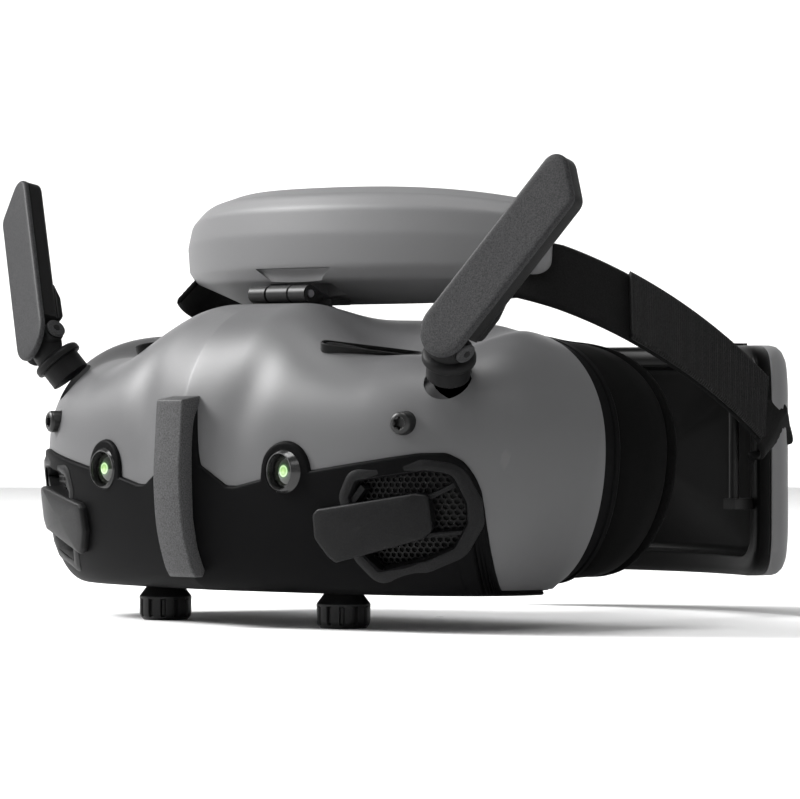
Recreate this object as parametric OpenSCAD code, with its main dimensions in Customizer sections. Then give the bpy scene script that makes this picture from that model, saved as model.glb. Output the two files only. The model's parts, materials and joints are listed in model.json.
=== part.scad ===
// Video goggles with a hinged headband, a rear battery and two folding antennas.
// Millimetres. +X is the wearer's left, -Y is the way the goggles look, +Z is up.
// The modules work from a datum on the centre plane, level with the shell screws and
// at the cameras' front; seat() moves each sub-part from there to the origin, which is
// the centre of the bounding box, on the ground under the focus knobs.

/* [Housing] */
// Half of the housing's width
half_w = 86; // [84:0.5:88]
// Depth of the grey shell, from the datum to its rear edge
shell_back = 49; // [48:0.5:50]
// Wall of the outer shells
wall = 2; // [1.6:0.1:2.2]
// Height of the hump's crest above the datum
hump_top = 27.7; // [27:0.1:28]
// Height of the brow between the hump and the shoulders
brow_top = 15.5; // [14:0.5:16]
// Depth of the bottom plate's underside below the datum
belly = 38; // [37.5:0.1:38.5]
// How far the lower cover stands proud of the upper shell
cover_proud = 0.9; // [0.5:0.1:1.2]

/* [Optics] */
// Half of the spacing between the cameras, and between the eyepieces at rest
half_ipd = 32; // [31.5:0.1:32.5]
// Height of the cameras below the datum
camera_drop = 11; // [10.5:0.1:11.5]
// Radius of the camera bezel
bezel_r = 4.5; // [4.2:0.1:4.6]
// Radius of the eyepiece barrel
eyepiece_r = 13; // [12.5:0.5:13]
// Radius of the focus knob's grip
knob_r = 6.2; // [5.8:0.1:6.4]
// Depth of the focus knobs' feet below the datum
foot_drop = 47; // [46.5:0.1:47.5]

/* [Antennas] */
// Length of the antenna blade from its pin to its tip
blade_l = 48; // [46:1:50]
// Width of the antenna blade
blade_w = 13; // [12:0.5:13.5]

/* [Headband] */
// Half of the forehead pad's width
pad_half_w = 62; // [60:0.5:63]
// Width of the strap
strap_w = 20; // [18:1:22]
// Thickness of one strap layer
strap_t = 1.2; // [1:0.1:1.4]
// Half of the battery pack's width
pack_half_w = 56; // [54:1:58]
// Height of the battery pack
pack_h = 56; // [52:1:58]

/* [Hidden] */
shift_y = -77;
hinge_y = 27;
hinge_z = 30;
hinge_r = 2;
hinge_pin_r = 0.9;
fine = 48;
eye_z = -8;
knob_y = 18;
rows_up = 12;
rows_low = 7;
low_cols = 26;
shield_y = 55;
pack_mid_z = -9.5;
collar_pos = [69.7, 16.1, 14];
collar_axis = [0.485, -0.391, 0.782];
pin_rise = 6.4;
blade_dir = [0.55, 0.315, 0.775];
blade_side = [0.82, 0.06, -0.57];
rod_y = 32;
rod_z = 9;
fin_w = 9.4;
seam_gap = 0.3;
fan_z = -12;
fan_r = 15;
pad_front_r = 94;
pad_front_y = 28.6;
pad_angle = asin(pad_half_w / pad_front_r);
fold_low = strap_t + 0.3;
fold_high = 2 * strap_t + 0.4;
pack_back_r = 80;
pack_back_y = 163;
pack_inner_r = 96;
pack_inner_y = 146.4;
pack_corner = 9;

// ---- helpers ----

function unit(v) = v / norm(v);
function ease(a, b, x) = let (t = min(1, max(0, (x - a) / (b - a)))) t * t * (3 - 2 * t);
function bez(a, b, c, d, t) =
    pow(1 - t, 3) * a + 3 * t * pow(1 - t, 2) * b + 3 * t * t * (1 - t) * c + pow(t, 3) * d;

module seat() {
    translate([0, shift_y, foot_drop]) children();
}

// Both sides of a pair: the left one is built, the right one is its mirror image
module on_side(side) {
    if (side > 0) children();
    else mirror([1, 0, 0]) children();
}

// Turns +Z to the direction d and +X as near as it can be to the direction x
module aim(d, x) {
    zd = unit(d);
    yd = unit(cross(zd, x));
    xd = cross(yd, zd);
    multmatrix([[xd[0], yd[0], zd[0], 0], [xd[1], yd[1], zd[1], 0], [xd[2], yd[2], zd[2], 0]])
        children();
}

// A bar along Y, from y0 to y1
module y_bar(r, y0, y1) {
    translate([0, y1, 0]) rotate([90, 0, 0]) cylinder(r = r, h = y1 - y0, $fn = fine);
}

module x_bar(r, x0, x1) {
    translate([x0, 0, 0]) rotate([0, 90, 0]) cylinder(r = r, h = x1 - x0, $fn = fine);
}

module block(low, high) {
    translate(low) cube(high - low);
}

// A slot seen from above: a round hole that is dragged sideways
module slot_shape(r, travel) {
    translate([-travel, 0]) circle(r = r, $fn = fine);
    translate([travel, 0]) circle(r = r, $fn = fine);
    translate([-travel, -r]) square([2 * travel, 2 * r]);
}

// A skin between two matching grids of points, closed round its edges
module skin(outer, inner) {
    nu = len(outer);
    nv = len(outer[0]);
    size = nu * nv;
    points = concat([for (c = outer) for (p = c) p], [for (c = inner) for (p = c) p]);
    function at(i, j) = i * nv + j;
    faces = concat(
        [for (i = [0:nu - 2]) for (j = [0:nv - 2]) each
            [[at(i, j), at(i + 1, j), at(i + 1, j + 1)], [at(i, j), at(i + 1, j + 1), at(i, j + 1)]]],
        [for (i = [0:nu - 2]) for (j = [0:nv - 2]) each
            [[size + at(i, j), size + at(i + 1, j + 1), size + at(i + 1, j)],
             [size + at(i, j), size + at(i, j + 1), size + at(i + 1, j + 1)]]],
        [for (i = [0:nu - 2]) each
            [[at(i, 0), size + at(i, 0), size + at(i + 1, 0)],
             [at(i, 0), size + at(i + 1, 0), at(i + 1, 0)],
             [at(i, nv - 1), size + at(i + 1, nv - 1), size + at(i, nv - 1)],
             [at(i, nv - 1), at(i + 1, nv - 1), size + at(i + 1, nv - 1)]]],
        [for (j = [0:nv - 2]) each
            [[at(0, j), size + at(0, j + 1), size + at(0, j)],
             [at(0, j), at(0, j + 1), size + at(0, j + 1)],
             [at(nu - 1, j), size + at(nu - 1, j), size + at(nu - 1, j + 1)],
             [at(nu - 1, j), size + at(nu - 1, j + 1), at(nu - 1, j + 1)]]]);
    polyhedron(points, faces, convexity = 6);
}

// ---- the housing's outer surface: s runs from side to side, h from the belly to the roof ----

function front_x(s) = sign(s) * bez(0, 50, half_w, half_w, abs(s));
function front_y(s) = bez(-4, 2.2, 4.6, shell_back, abs(s));
function roof_end(s) = [front_x(s) * 0.64, shell_back];
function belly_end(s) = [front_x(s) * 0.744, shell_back];
function crest_share(s) = 0.54 - 0.12 * ease(0, 0.5, abs(s)) + 0.55 * pow(abs(s), 4);
function curl_share(s) = 0.22 + 0.78 * pow(abs(s), 6);
function mid_z(s) = -10 + 4 * abs(s);
function crest_z(s) = let (x = abs(front_x(s)))
    brow_top + (hump_top - brow_top) * (1 - ease(14, 52, x)) + 5.5 * ease(64, half_w, x);
function roof_z(s) = 24 - 3 * s * s;

function skin_point(s, h) = let (
        up = h >= 0,
        arc = up ? min(1, h / 0.6) * 90 : min(1, -h) * 90,
        power = up ? 2 / 2.2 : 2 / (2.6 - 0.6 * abs(s)),
        share = up ? crest_share(s) : curl_share(s),
        run = up ? max(0, (h - 0.6) / 0.4) : 0,
        w = share * (1 - pow(cos(arc), power)) + (1 - share) * run,
        goal = up ? roof_end(s) : belly_end(s),
        rise = pow(sin(arc), power),
        z = up ? mid_z(s) + (crest_z(s) - mid_z(s)) * rise + (roof_z(s) - crest_z(s)) * ease(0, 1, run)
               : mid_z(s) - (belly + mid_z(s)) * rise,
        x = front_x(s) + (goal[0] - front_x(s)) * w,
        y = front_y(s) + (goal[1] - front_y(s)) * w)
    [x, y, z];

function outward(s, h) = let (
        d = 0.004,
        s0 = max(-1, s - d), s1 = min(1, s + d),
        h0 = max(-1, h - d), h1 = min(1, h + d))
    unit(cross(skin_point(s1, h) - skin_point(s0, h), skin_point(s, h1) - skin_point(s, h0)));

function lifted(s, h, gap) = skin_point(s, h) + gap * outward(s, h);

// Height of the seam between the upper shell and the lower cover: a broken line that drops
// beside the fin and behind the intake, and an arc over each camera
seam_line = [[0, 4], [4.9, 4], [6, -9.2], [14.5, -14.2], [17.5, -14.2], [26, -12.4], [39, -10.6],
    [66, -6.5], [71.5, -6.4], [74.5, -8.4], [76.6, -12.8], [77.7, -19], [78.3, -40]];
arc_r = 7.1;
function seam_z(x) = let (a = abs(x), reach = pow(arc_r, 2) - pow(a - half_ipd - 0.4, 2))
    max(lookup(a, seam_line), reach > 0 ? sqrt(reach) - camera_drop : -99);
function seam_h(s, gap = 0) = let (
        a = abs(front_x(s)),
        z = max(-belly + 0.4, min([for (k = [-1:1]) seam_z(a + k * gap)]) - gap),
        m = mid_z(s))
    z >= m ? 0.6 / 90 * asin(pow((z - m) / (crest_z(s) - m), 1.1))
           : -asin(pow((m - z) / (belly + m), (2.6 - 0.6 * abs(s)) / 2)) / 90;

// Columns of the skin, close together where the seam turns
cols = [0, 0.016, 0.033, 0.0405, 0.07, 0.103, 0.1215, 0.15, 0.178, 0.184, 0.195, 0.211, 0.2335,
    0.257, 0.275, 0.2865, 0.293, 0.34, 0.4, 0.47, 0.543, 0.58, 0.617, 0.66, 0.695, 0.712, 0.723,
    0.75, 0.79, 0.84, 0.88, 0.92, 0.96, 1];
function column(i) = sign(i) * cols[abs(i)];

module upper_skin() {
    last = len(cols) - 1;
    function grid(gap) = [for (i = [-last:last]) let (s = column(i), h0 = seam_h(s))
        [for (j = [0:rows_up]) lifted(s, h0 + (1 - h0) * j / rows_up, gap)]];
    skin(grid(0), grid(-wall));
}

module lower_skin() {
    function grid(gap) = [for (i = [-low_cols:low_cols]) let (s = column(i), h1 = seam_h(s, seam_gap))
        [for (j = [0:rows_low]) lifted(s, -1 + (h1 + 1) * j / rows_low, gap)]];
    skin(grid(cover_proud), grid(-wall));
}

// Outline of the housing's rear edge, as points in X and Z
function rim_half(n) = concat(
    [for (j = [0:n]) let (p = skin_point(1, -1 + j / n * 1.6)) [p[0], p[2]]],
    [for (j = [1:n]) let (p = skin_point(1 - j / n, 1)) [p[0], p[2]]]);
function rim(n) = let (right = concat([[0, -belly], [half_w * 0.37, -belly]], rim_half(n)))
    concat(right, [for (j = [len(right) - 2:-1:1]) [-right[j][0], right[j][1]]]);
function inset(pts, d) = let (n = len(pts))
    [for (i = [0:n - 1]) let (
            t = unit(pts[(i + 1) % n] - pts[(i + n - 1) % n]))
        pts[i] + d * [-t[1], t[0]]];

// A plate of the rim's outline, from y0 to y1
module rim_plate(d, y0, y1) {
    translate([0, y1, 0]) rotate([90, 0, 0]) linear_extrude(height = y1 - y0) polygon(inset(rim(10), d));
}

// ---- housing ----

module camera_holes(r) {
    for (x = [-half_ipd, half_ipd]) translate([x, 0, -camera_drop]) y_bar(r, -20, 12);
}

module upper_shell() {
    color([0.33, 0.33, 0.34]) seat() difference() {
        upper_skin();
        camera_holes(bezel_r + 1.2);
        for (side = [-1, 1]) on_side(side) {
            collar_cut();
            vent_place() cube([23, 3.6, 12], center = true);
            screw_place() cylinder(r = 1.6, h = 30, center = true, $fn = fine);
        }
        translate([-half_w - 6, 36, -6]) x_bar(4.3, 0, 20);
        translate([-half_w - 6, 38, -16]) x_bar(2.8, 0, 20);
        translate([-half_w - 6, 38, 4]) x_bar(2.8, 0, 20);
    }
}

module lower_cover() {
    color([0.09, 0.09, 0.1]) seat() difference() {
        lower_skin();
        camera_holes(bezel_r + 1.2);
        for (side = [-1, 1]) on_side(side) intake_opening();
    }
}

module intake_opening() {
    translate([0, 30, 0]) rotate([90, 0, 0]) linear_extrude(height = 50) polygon([
        [50, -15.6], [52, -12.6], [67, -10.4], [71, -10.8], [73.3, -13], [74.6, -17],
        [74.8, -21.5], [72.6, -27], [66.8, -30.5], [55.5, -33], [52.8, -30.5]]);
}

module center_fin() {
    color([0.16, 0.16, 0.17]) seat() translate([-fin_w / 2, 0, 0]) rotate([90, 0, 90])
        linear_extrude(height = fin_w) polygon([
            [-2.6, 6.2], [-7.3, 5.3], [-8.3, -13], [-7.4, -24], [-5.1, -32.4], [-3.4, -35.6],
            [-0.9, -35.6], [-1.4, -34.5], [-3.6, -29], [-5, -22], [-5.2, -12], [-4.9, 0],
            [-3.8, 4.4]]);
}

module bottom_plate() {
    color([0.08, 0.08, 0.09]) seat() difference() {
        translate([0, 0, -belly]) linear_extrude(height = 1.8) polygon(plate_outline());
        for (side = [-1, 1]) translate([side * half_ipd, knob_y, -belly - 1])
            linear_extrude(height = 5) slot_shape(3.6, 4.4);
        for (side = [-1, 1]) translate([side * 52, 40, -belly - 1]) cylinder(r = 1.3, h = 5, $fn = fine);
        for (side = [-1, 1]) translate([side * 8, 12, -belly - 1]) cylinder(r = 1.3, h = 5, $fn = fine);
        for (x = [-49, 49]) block([x - 5, 28, -belly - 1], [x + 5, 32, -belly + 3]);
    }
}

function plate_outline() =
    [for (i = [-14:14]) let (p = skin_point(i / 14, -1))
        [p[0] * 0.985, min(p[1] + 1.2, shell_back - 0.6)]];

module frame_ring() {
    color([0.07, 0.07, 0.08]) seat() difference() {
        rim_plate(1, shell_back + 0.2, shield_y);
        rim_plate(4, shell_back - 1, shield_y + 1);
    }
}

// The light shield's rear edge follows the face: it reaches further back at the sides
function shield_end(x) = 58.5 + 14 * pow(abs(x) / half_w, 2);

module shield_tube(d0, d1, y0, y1_add) {
    outer = inset(rim(9), d0);
    inner = inset(rim(9), d1);
    n = len(outer);
    function at_end(p) = [p[0], shield_end(p[0]) + y1_add, p[1]];
    function at_start(p) = [p[0], y0 < 0 ? shield_end(p[0]) : y0, p[1]];
    rings = [[for (p = outer) at_start(p)], [for (p = outer) at_end(p)],
             [for (p = inner) at_end(p)], [for (p = inner) at_start(p)]];
    points = [for (r = rings) for (p = r) p];
    faces = [for (k = [0:3]) for (i = [0:n - 1]) let (k2 = (k + 1) % 4, i2 = (i + 1) % n) each
        [[k * n + i, k * n + i2, k2 * n + i2], [k * n + i, k2 * n + i2, k2 * n + i]]];
    polyhedron(points, faces, convexity = 8);
}

module light_shield() {
    color([0.03, 0.03, 0.035]) seat() shield_tube(2.5, 5, shield_y, 0);
}

module face_foam() {
    color([0.05, 0.05, 0.05]) seat() shield_tube(2.5, 10, -1, 4);
}

module eye_plate() {
    color([0.05, 0.05, 0.055]) seat() difference() {
        rim_plate(3.2, shell_back - 4, shell_back - 2.4);
        for (side = [-1, 1]) translate([side * half_ipd, shell_back, eye_z])
            rotate([90, 0, 0]) linear_extrude(height = 8) slot_shape(eyepiece_r + 1, 4.2);
        translate([0, 0, 6]) y_bar(2.2, shell_back - 6, shell_back);
    }
}

module bulkhead() {
    color([0.12, 0.12, 0.13]) seat() difference() {
        union() {
            block([-52, 10.4, -28], [52, 12, 7]);
            for (side = [-1, 1]) on_side(side) {
                block([51, 10.4, -28], [53, 40, 7]);
                block([51, 28, 0], [53, 36, 11.5]);
            }
        }
        camera_holes(3.6);
        for (x = [-52, 52]) translate([x, rod_y, rod_z]) x_bar(1.5, -3, 3);
    }
}

// ---- cameras ----

module camera_place() {
    translate([half_ipd, 0, -camera_drop]) children();
}

module bezel() {
    camera_place() rotate([90, 0, 0]) rotate_extrude($fn = fine) polygon([
        [3.1, -8], [bezel_r + 0.9, -8], [bezel_r + 0.9, -0.3], [bezel_r, 1.4], [bezel_r - 0.8, 1.7],
        [3.1, -0.6]]);
}

module camera_module() {
    camera_place() {
        difference() {
            y_bar(3, 0.7, 9.9);
            y_bar(2.4, 0.2, 6);
        }
    }
}

module camera_lens() {
    camera_place() rotate([90, 0, 0]) translate([0, 0, -4]) {
        cylinder(r = 2.3, h = 3, $fn = fine);
        translate([0, 0, 3]) intersection() {
            cylinder(r = 2.3, h = 2, $fn = fine);
            translate([0, 0, -5]) sphere(r = 5.6, $fn = fine);
        }
    }
}

module camera_bezel_left() { color([0.05, 0.05, 0.05]) seat() bezel(); }
module camera_bezel_right() { color([0.05, 0.05, 0.05]) seat() on_side(-1) bezel(); }
module camera_modules() {
    color([0.2, 0.2, 0.2]) seat() for (side = [-1, 1]) on_side(side) camera_module();
}

module camera_lenses() {
    color([0.05, 0.2, 0.05]) seat() for (side = [-1, 1]) on_side(side) camera_lens();
}

// ---- screws ----

module screw_place() {
    translate([62.6, 8.5, 0]) rotate([90, 0, 17]) children();
}

module screw(head_r, head_h, shank_r, shank_l) {
    difference() {
        union() {
            cylinder(r = head_r, h = head_h, $fn = fine);
            translate([0, 0, -shank_l]) cylinder(r = shank_r, h = shank_l + 0.1, $fn = fine);
        }
        translate([0, 0, head_h - 0.8]) cylinder(r = head_r * 0.5, h = 2, $fn = 6);
    }
}

module shell_screws() {
    color([0.1, 0.1, 0.1]) seat() for (side = [-1, 1]) on_side(side)
        screw_place() screw(2.4, 1.6, 1.5, 7);
}

module base_screws() {
    color([0.1, 0.1, 0.1]) seat() for (x = [-52, -8, 8, 52]) let (y = abs(x) > 20 ? 40 : 12)
        translate([x, y, -belly]) rotate([180, 0, 0]) screw(2.2, 0.9, 1.25, 6);
}

// ---- vents ----

// A patch of the housing's skin, s0 to s1 and h0 to h1, between two heights over it. It rises
// by lean from one end to the other.
module patch(s0, s1, h0, h1, top, bottom, ns = 8, nh = 4, lean = 0) {
    function grid(gap) = [for (i = [0:ns]) [for (j = [0:nh])
        lifted(s0 + (s1 - s0) * i / ns, h0 + (h1 - h0) * j / nh + lean * i / ns, gap)]];
    skin(grid(top), grid(bottom));
}

module vent_place() {
    translate([40, 20, 17]) aim([0.24, -0.06, 0.97], [0.69, 0.72, -0.06]) children();
}

module top_vent_grilles() {
    color([0.05, 0.05, 0.05]) seat() for (side = [-1, 1]) on_side(side)
        vent_place() translate([0, 0, -1.2]) cube([22.6, 3.2, 0.8], center = true);
}

module intake_mesh() {
    patch(0.36, 0.68, -0.64, -0.03, -2.7, -3.2);
}

module intake_meshes() {
    color([0.04, 0.04, 0.04]) seat() for (side = [-1, 1]) on_side(side) intake_mesh();
}

// The bar in front of the air intake, with two feet that reach back to the mesh
module intake_panel() {
    patch(0.3, 0.56, -0.48, -0.22, 2.7, 1.2, lean = 0.09);
    patch(0.435, 0.455, -0.36, -0.2, 1.2, -2.6, 2, 2);
    patch(0.53, 0.55, -0.32, -0.18, 1.2, -2.6, 2, 2);
}

module intake_panel_left() { color([0.11, 0.11, 0.12]) seat() intake_panel(); }
module intake_panel_right() { color([0.11, 0.11, 0.12]) seat() on_side(-1) intake_panel(); }

// ---- headband hinge ----

module hinge_bracket() {
    color([0.12, 0.12, 0.12]) seat() {
        difference() {
            union() {
                block([-14, hinge_y + 3, 27.3], [14, hinge_y + 9, 28.6]);
                for (x = [-10, 4.3]) {
                    translate([0, hinge_y, hinge_z]) x_bar(hinge_r, x, x + 5.7);
                    block([x, hinge_y, hinge_z - hinge_r], [x + 5.7, hinge_y + 4, hinge_z]);
                }
            }
            translate([0, hinge_y, hinge_z]) x_bar(hinge_pin_r + 0.05, -20, 20);
        }
    }
}

module hinge_pin() {
    color([0.6, 0.6, 0.62]) seat() translate([0, hinge_y, hinge_z]) x_bar(hinge_pin_r, -10.4, 10.4);
}

// ---- optics ----

module optics_place() {
    translate([half_ipd, 0, eye_z]) children();
}

module guide_rod() {
    color([0.7, 0.7, 0.72]) seat() translate([0, rod_y, rod_z]) x_bar(1.5, -53, 53);
}

// The carriage holds one eye's display and tube, and slides on the guide rod
module ipd_carriage() {
    difference() {
        union() {
            optics_place() y_bar(eyepiece_r + 1.2, 20, 42);
            block([half_ipd - 6, 13.5, -35], [half_ipd + 6, 24, eye_z]);
        }
        optics_place() y_bar(eyepiece_r, 24, 50);
        translate([half_ipd, knob_y, -40]) cylinder(r = 2.05, h = 16, $fn = fine);
        translate([half_ipd, 0, eye_z]) block([-9, 17, -9], [9, 30, 9]);
    }
}

module carriage_lug() {
    difference() {
        block([half_ipd - 5, 28, 5.9], [half_ipd + 5, 36, 11.9]);
        translate([0, rod_y, rod_z]) x_bar(1.55, 0, 80);
        optics_place() y_bar(eyepiece_r, 20, 50);
    }
}

module ipd_carriage_left() { color([0.15, 0.15, 0.16]) seat() { ipd_carriage(); carriage_lug(); } }
module ipd_carriage_right() {
    color([0.15, 0.15, 0.16]) seat() on_side(-1) { ipd_carriage(); carriage_lug(); }
}

module display() {
    optics_place() block([-8.5, 20.2, -8.5], [8.5, 22, 8.5]);
}

module display_left() { color([0.02, 0.02, 0.05]) seat() display(); }
module display_right() { color([0.02, 0.02, 0.05]) seat() on_side(-1) display(); }

module eyepiece() {
    optics_place() difference() {
        y_bar(eyepiece_r - 0.05, 26.4, 48);
        y_bar(eyepiece_r - 1.6, 26, 49);
    }
}

module eyepiece_left() { color([0.06, 0.06, 0.06]) seat() eyepiece(); }
module eyepiece_right() { color([0.06, 0.06, 0.06]) seat() on_side(-1) eyepiece(); }

module eyepiece_lens() {
    optics_place() translate([0, 41, 0]) rotate([-90, 0, 0]) intersection() {
        cylinder(r = eyepiece_r - 1.65, h = 6, $fn = fine);
        translate([0, 0, -14]) sphere(r = 20, $fn = 64);
    }
}

module eyepiece_lens_left() { color([0.5, 0.55, 0.6]) seat() eyepiece_lens(); }
module eyepiece_lens_right() { color([0.5, 0.55, 0.6]) seat() on_side(-1) eyepiece_lens(); }

// The focus knob: shaft, neck and a fluted grip
module focus_knob() {
    translate([half_ipd, knob_y, 0]) difference() {
        rotate_extrude($fn = fine) polygon([
            [0, -25], [2, -25], [2, -35.3], [3.2, -35.3], [3.2, -38.8], [4.4, -38.8], [knob_r, -41],
            [knob_r - 0.2, -45.6], [knob_r - 1, -foot_drop], [0, -foot_drop]]);
        for (i = [0:11]) rotate(i * 30)
            translate([knob_r + 0.3, 0, -45]) cylinder(r = 0.7, h = 3.4, $fn = 16);
    }
}

module focus_knob_left() { color([0.06, 0.06, 0.06]) seat() focus_knob(); }
module focus_knob_right() { color([0.06, 0.06, 0.06]) seat() on_side(-1) focus_knob(); }

// ---- electronics ----

module main_board() {
    color([0.05, 0.2, 0.1]) seat() {
        block([-20, 12.3, -28], [20, 13.9, 9]);
        block([-18, 13.9, 0], [-13.2, 15.4, 7]);
        block([13.4, 13.9, 1], [18, 15, 6]);
    }
}

module heat_sink() {
    color([0.6, 0.6, 0.62]) seat() {
        block([-12.5, 14, -26], [12.5, 15.5, -2]);
        for (i = [0:6]) block([-12.5 + i * 3.95, 15.4, -26], [-11.2 + i * 3.95, 24, -2]);
    }
}

module fan_housing() {
    color([0.1, 0.1, 0.1]) seat() translate([0, 0, fan_z]) difference() {
        union() {
            difference() {
                y_bar(fan_r, 1.2, 9.8);
                y_bar(fan_r - 1.2, -1, 8.6);
            }
            y_bar(2.6, 6.6, 9.8);
        }
        y_bar(1.05, 0, 12);
    }
}

module fan_rotor() {
    color([0.15, 0.15, 0.16]) seat() translate([0, 0, fan_z]) {
        y_bar(1, 2, 9.6);
        difference() {
            y_bar(5.5, 1.4, 6.2);
            y_bar(4.6, 2.4, 7);
        }
        y_bar(1.6, 1.6, 6.2);
        for (i = [0:8]) rotate([0, i * 40, 0]) block([5.2, 1.6, -0.4], [fan_r - 2.2, 6, 0.4]);
    }
}

module proximity_sensor() {
    color([0.03, 0.03, 0.03]) seat() translate([0, 0, 6]) y_bar(2.1, shell_back - 7, shell_back - 2.2);
}

module side_button(y, z, r, tip) {
    translate([-half_w, y, z]) {
        x_bar(r, -tip, 0.4);
        x_bar(r * 0.6, 0.3, 3);
    }
}

module joystick() {
    color([0.04, 0.04, 0.04]) seat() side_button(36, -6, 3.9, 2.6);
}

module back_button() {
    color([0.05, 0.05, 0.05]) seat() side_button(38, -16, 2.5, 1);
}

module record_button() {
    color([0.05, 0.05, 0.05]) seat() side_button(38, 4, 2.5, 1);
}

// A socket that fills a slot of the bottom plate
module socket(x, depth) {
    difference() {
        block([x - 4.7, 28.3, -belly], [x + 4.7, 31.7, -belly + depth]);
        block([x - 4.2, 28.8, -belly - 1], [x + 4.2, 31.2, -belly + depth - 1]);
    }
}

module usb_c_port() {
    color([0.5, 0.5, 0.52]) seat() {
        socket(49, 8);
        block([46, 29.8, -belly + 1], [52, 30.2, -belly + 7.5]);
    }
}

module card_tray() {
    color([0.4, 0.4, 0.42]) seat() socket(-49, 5);
}

// ---- antennas ----

module collar_place() {
    translate(collar_pos) aim(collar_axis, [1, 0, 0]) children();
}

module collar_cut() {
    collar_place() translate([0, 0, -8]) cylinder(r = 5.4, h = 8.4, $fn = fine);
    collar_place() cylinder(r = 7, h = 10, $fn = fine);
}

// The blade's frame: the pin is along X, the blade along Z, and its back is +Y
module blade_place() {
    translate(collar_pos + pin_rise * collar_axis) aim(blade_dir, blade_side) children();
}

module antenna_collar() {
    difference() {
        union() {
            collar_place() {
                translate([0, 0, -4]) cylinder(r = 5, h = 4.6, $fn = fine);
                translate([0, 0, 0.4]) cylinder(r = 6.1, h = 2.2, $fn = fine);
            }
            blade_place() x_bar(2.6, -5.1, 5.1);
            intersection() {
                collar_place() translate([0, 0, 1]) cylinder(r = 4.6, h = 5, $fn = fine);
                blade_place() block([-5.1, -2.2, -9], [5.1, 2.2, 0]);
            }
        }
        blade_place() x_bar(0.85, -8, 8);
    }
    blade_place() x_bar(0.8, -6.4, 6.4);
}

module antenna_collar_left() { color([0.1, 0.1, 0.1]) seat() antenna_collar(); }
module antenna_collar_right() { color([0.1, 0.1, 0.1]) seat() on_side(-1) antenna_collar(); }

module blade_outline() {
    r = blade_w / 2;
    hull() {
        translate([0, 1.5]) circle(r = r, $fn = 32);
        translate([-r + 3.5, blade_l - 3.5]) circle(r = 3.5, $fn = 32);
        translate([r - 3, blade_l - 7]) circle(r = 3, $fn = 32);
    }
}

// The front cover, with two thin ears for the pin
module antenna_blade() {
    blade_place() difference() {
        union() {
            translate([0, -3.1, 0]) rotate([90, 0, 0]) linear_extrude(height = 1.3) blade_outline();
            for (x = [-6.4, 5.4]) {
                x_bar(2.4, x, x + 1);
                block([x, -3.2, -2.4], [x + 1, 0, 2.4]);
            }
        }
        x_bar(0.85, -8, 8);
    }
}

// The back cover starts above the pin and is thicker at its root
module antenna_cap() {
    blade_place() {
        intersection() {
            translate([0, 1, 0]) rotate([90, 0, 0]) linear_extrude(height = 4) blade_outline();
            block([-10, -4, 3.4], [10, 2, 60]);
        }
        translate([-blade_w / 2 + 0.4, 0, 0]) rotate([90, 0, 90]) linear_extrude(height = blade_w - 0.8)
            polygon([[0.9, 3.4], [2.5, 4.4], [2.5, 11], [0.9, 15]]);
    }
}

module antenna_blade_left() { color([0.19, 0.19, 0.2]) seat() antenna_blade(); }
module antenna_blade_right() { color([0.19, 0.19, 0.2]) seat() on_side(-1) antenna_blade(); }
module antenna_cap_left() { color([0.14, 0.14, 0.14]) seat() antenna_cap(); }
module antenna_cap_right() { color([0.14, 0.14, 0.14]) seat() on_side(-1) antenna_cap(); }

// ---- headband ----

// A profile (radius inward from the front face, height) swept round the forehead
module pad_sweep(profile) {
    translate([0, pad_front_y + pad_front_r, 0]) rotate(-90 - pad_angle)
        rotate_extrude(angle = 2 * pad_angle, $fn = 96)
            polygon([for (p = profile) [pad_front_r - p[0], p[1]]]);
}

module pad_shell() {
    color([0.36, 0.36, 0.37]) seat() difference() {
        union() {
            pad_sweep([[0.6, 35], [3, 32.4], [13, 27.5], [14.6, 27.5], [14.6, 54.5], [9, 55.4],
                       [4, 53], [1, 49.5], [0, 44]]);
            translate([0, hinge_y, hinge_z]) x_bar(hinge_r, -3.9, 3.9);
            block([-3.9, hinge_y, hinge_z], [3.9, hinge_y + 6, 34]);
        }
        translate([0, hinge_y, hinge_z]) x_bar(hinge_pin_r + 0.05, -8, 8);
        for (x = [-11, 4.2]) block([x, hinge_y - 4, 25], [x + 6.8, hinge_y + 10.6, 32.5]);
        block([-15, hinge_y + 2.6, 25], [15, hinge_y + 9.6, 29.2]);
    }
}

module pad_cushion() {
    color([0.05, 0.05, 0.05]) seat()
        pad_sweep([[14.7, 27.5], [20, 28.5], [22, 34], [22, 48], [20, 53], [14.7, 54.4]]);
}

// The strap's middle line: out of the pad's end, back and down to the battery pack
function strap_mid(t) = [
    bez(62, 63.5, 60, 53.4, t), bez(57, 80, 103, 123.8, t), bez(32, 28, 13, 0, t)];
function strap_tilt(t) = (20 + 70 * t) * (1 - t);
function strap_at(t, across, off) = let (
        d = 0.01,
        along = unit(strap_mid(min(1, t + d)) - strap_mid(max(0, t - d))),
        a = strap_tilt(t),
        side = unit(cross([cos(a), 0, sin(a)], along)),
        face = unit(cross(along, side)))
    strap_mid(t) - across * side + off * face;

module strap_band(t0, t1, off0, off1, steps) {
    function edge(off) = [for (i = [0:steps]) [for (j = [0:2])
        strap_at(t0 + (t1 - t0) * i / steps, (j - 1) * strap_w / 2, off)]];
    skin(edge(off1), edge(off0));
}

module strap() {
    strap_band(0, 1, 0, strap_t, 14);
}

// The strap's end, folded back over it and sewn down
module strap_fold() {
    strap_band(0.38, 0.97, fold_low, fold_high, 10);
}

module strap_left() { color([0.04, 0.04, 0.04]) seat() strap(); }
module strap_right() { color([0.04, 0.04, 0.04]) seat() on_side(-1) strap(); }
module strap_fold_left() { color([0.06, 0.06, 0.06]) seat() strap_fold(); }
module strap_fold_right() { color([0.06, 0.06, 0.06]) seat() on_side(-1) strap_fold(); }

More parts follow.
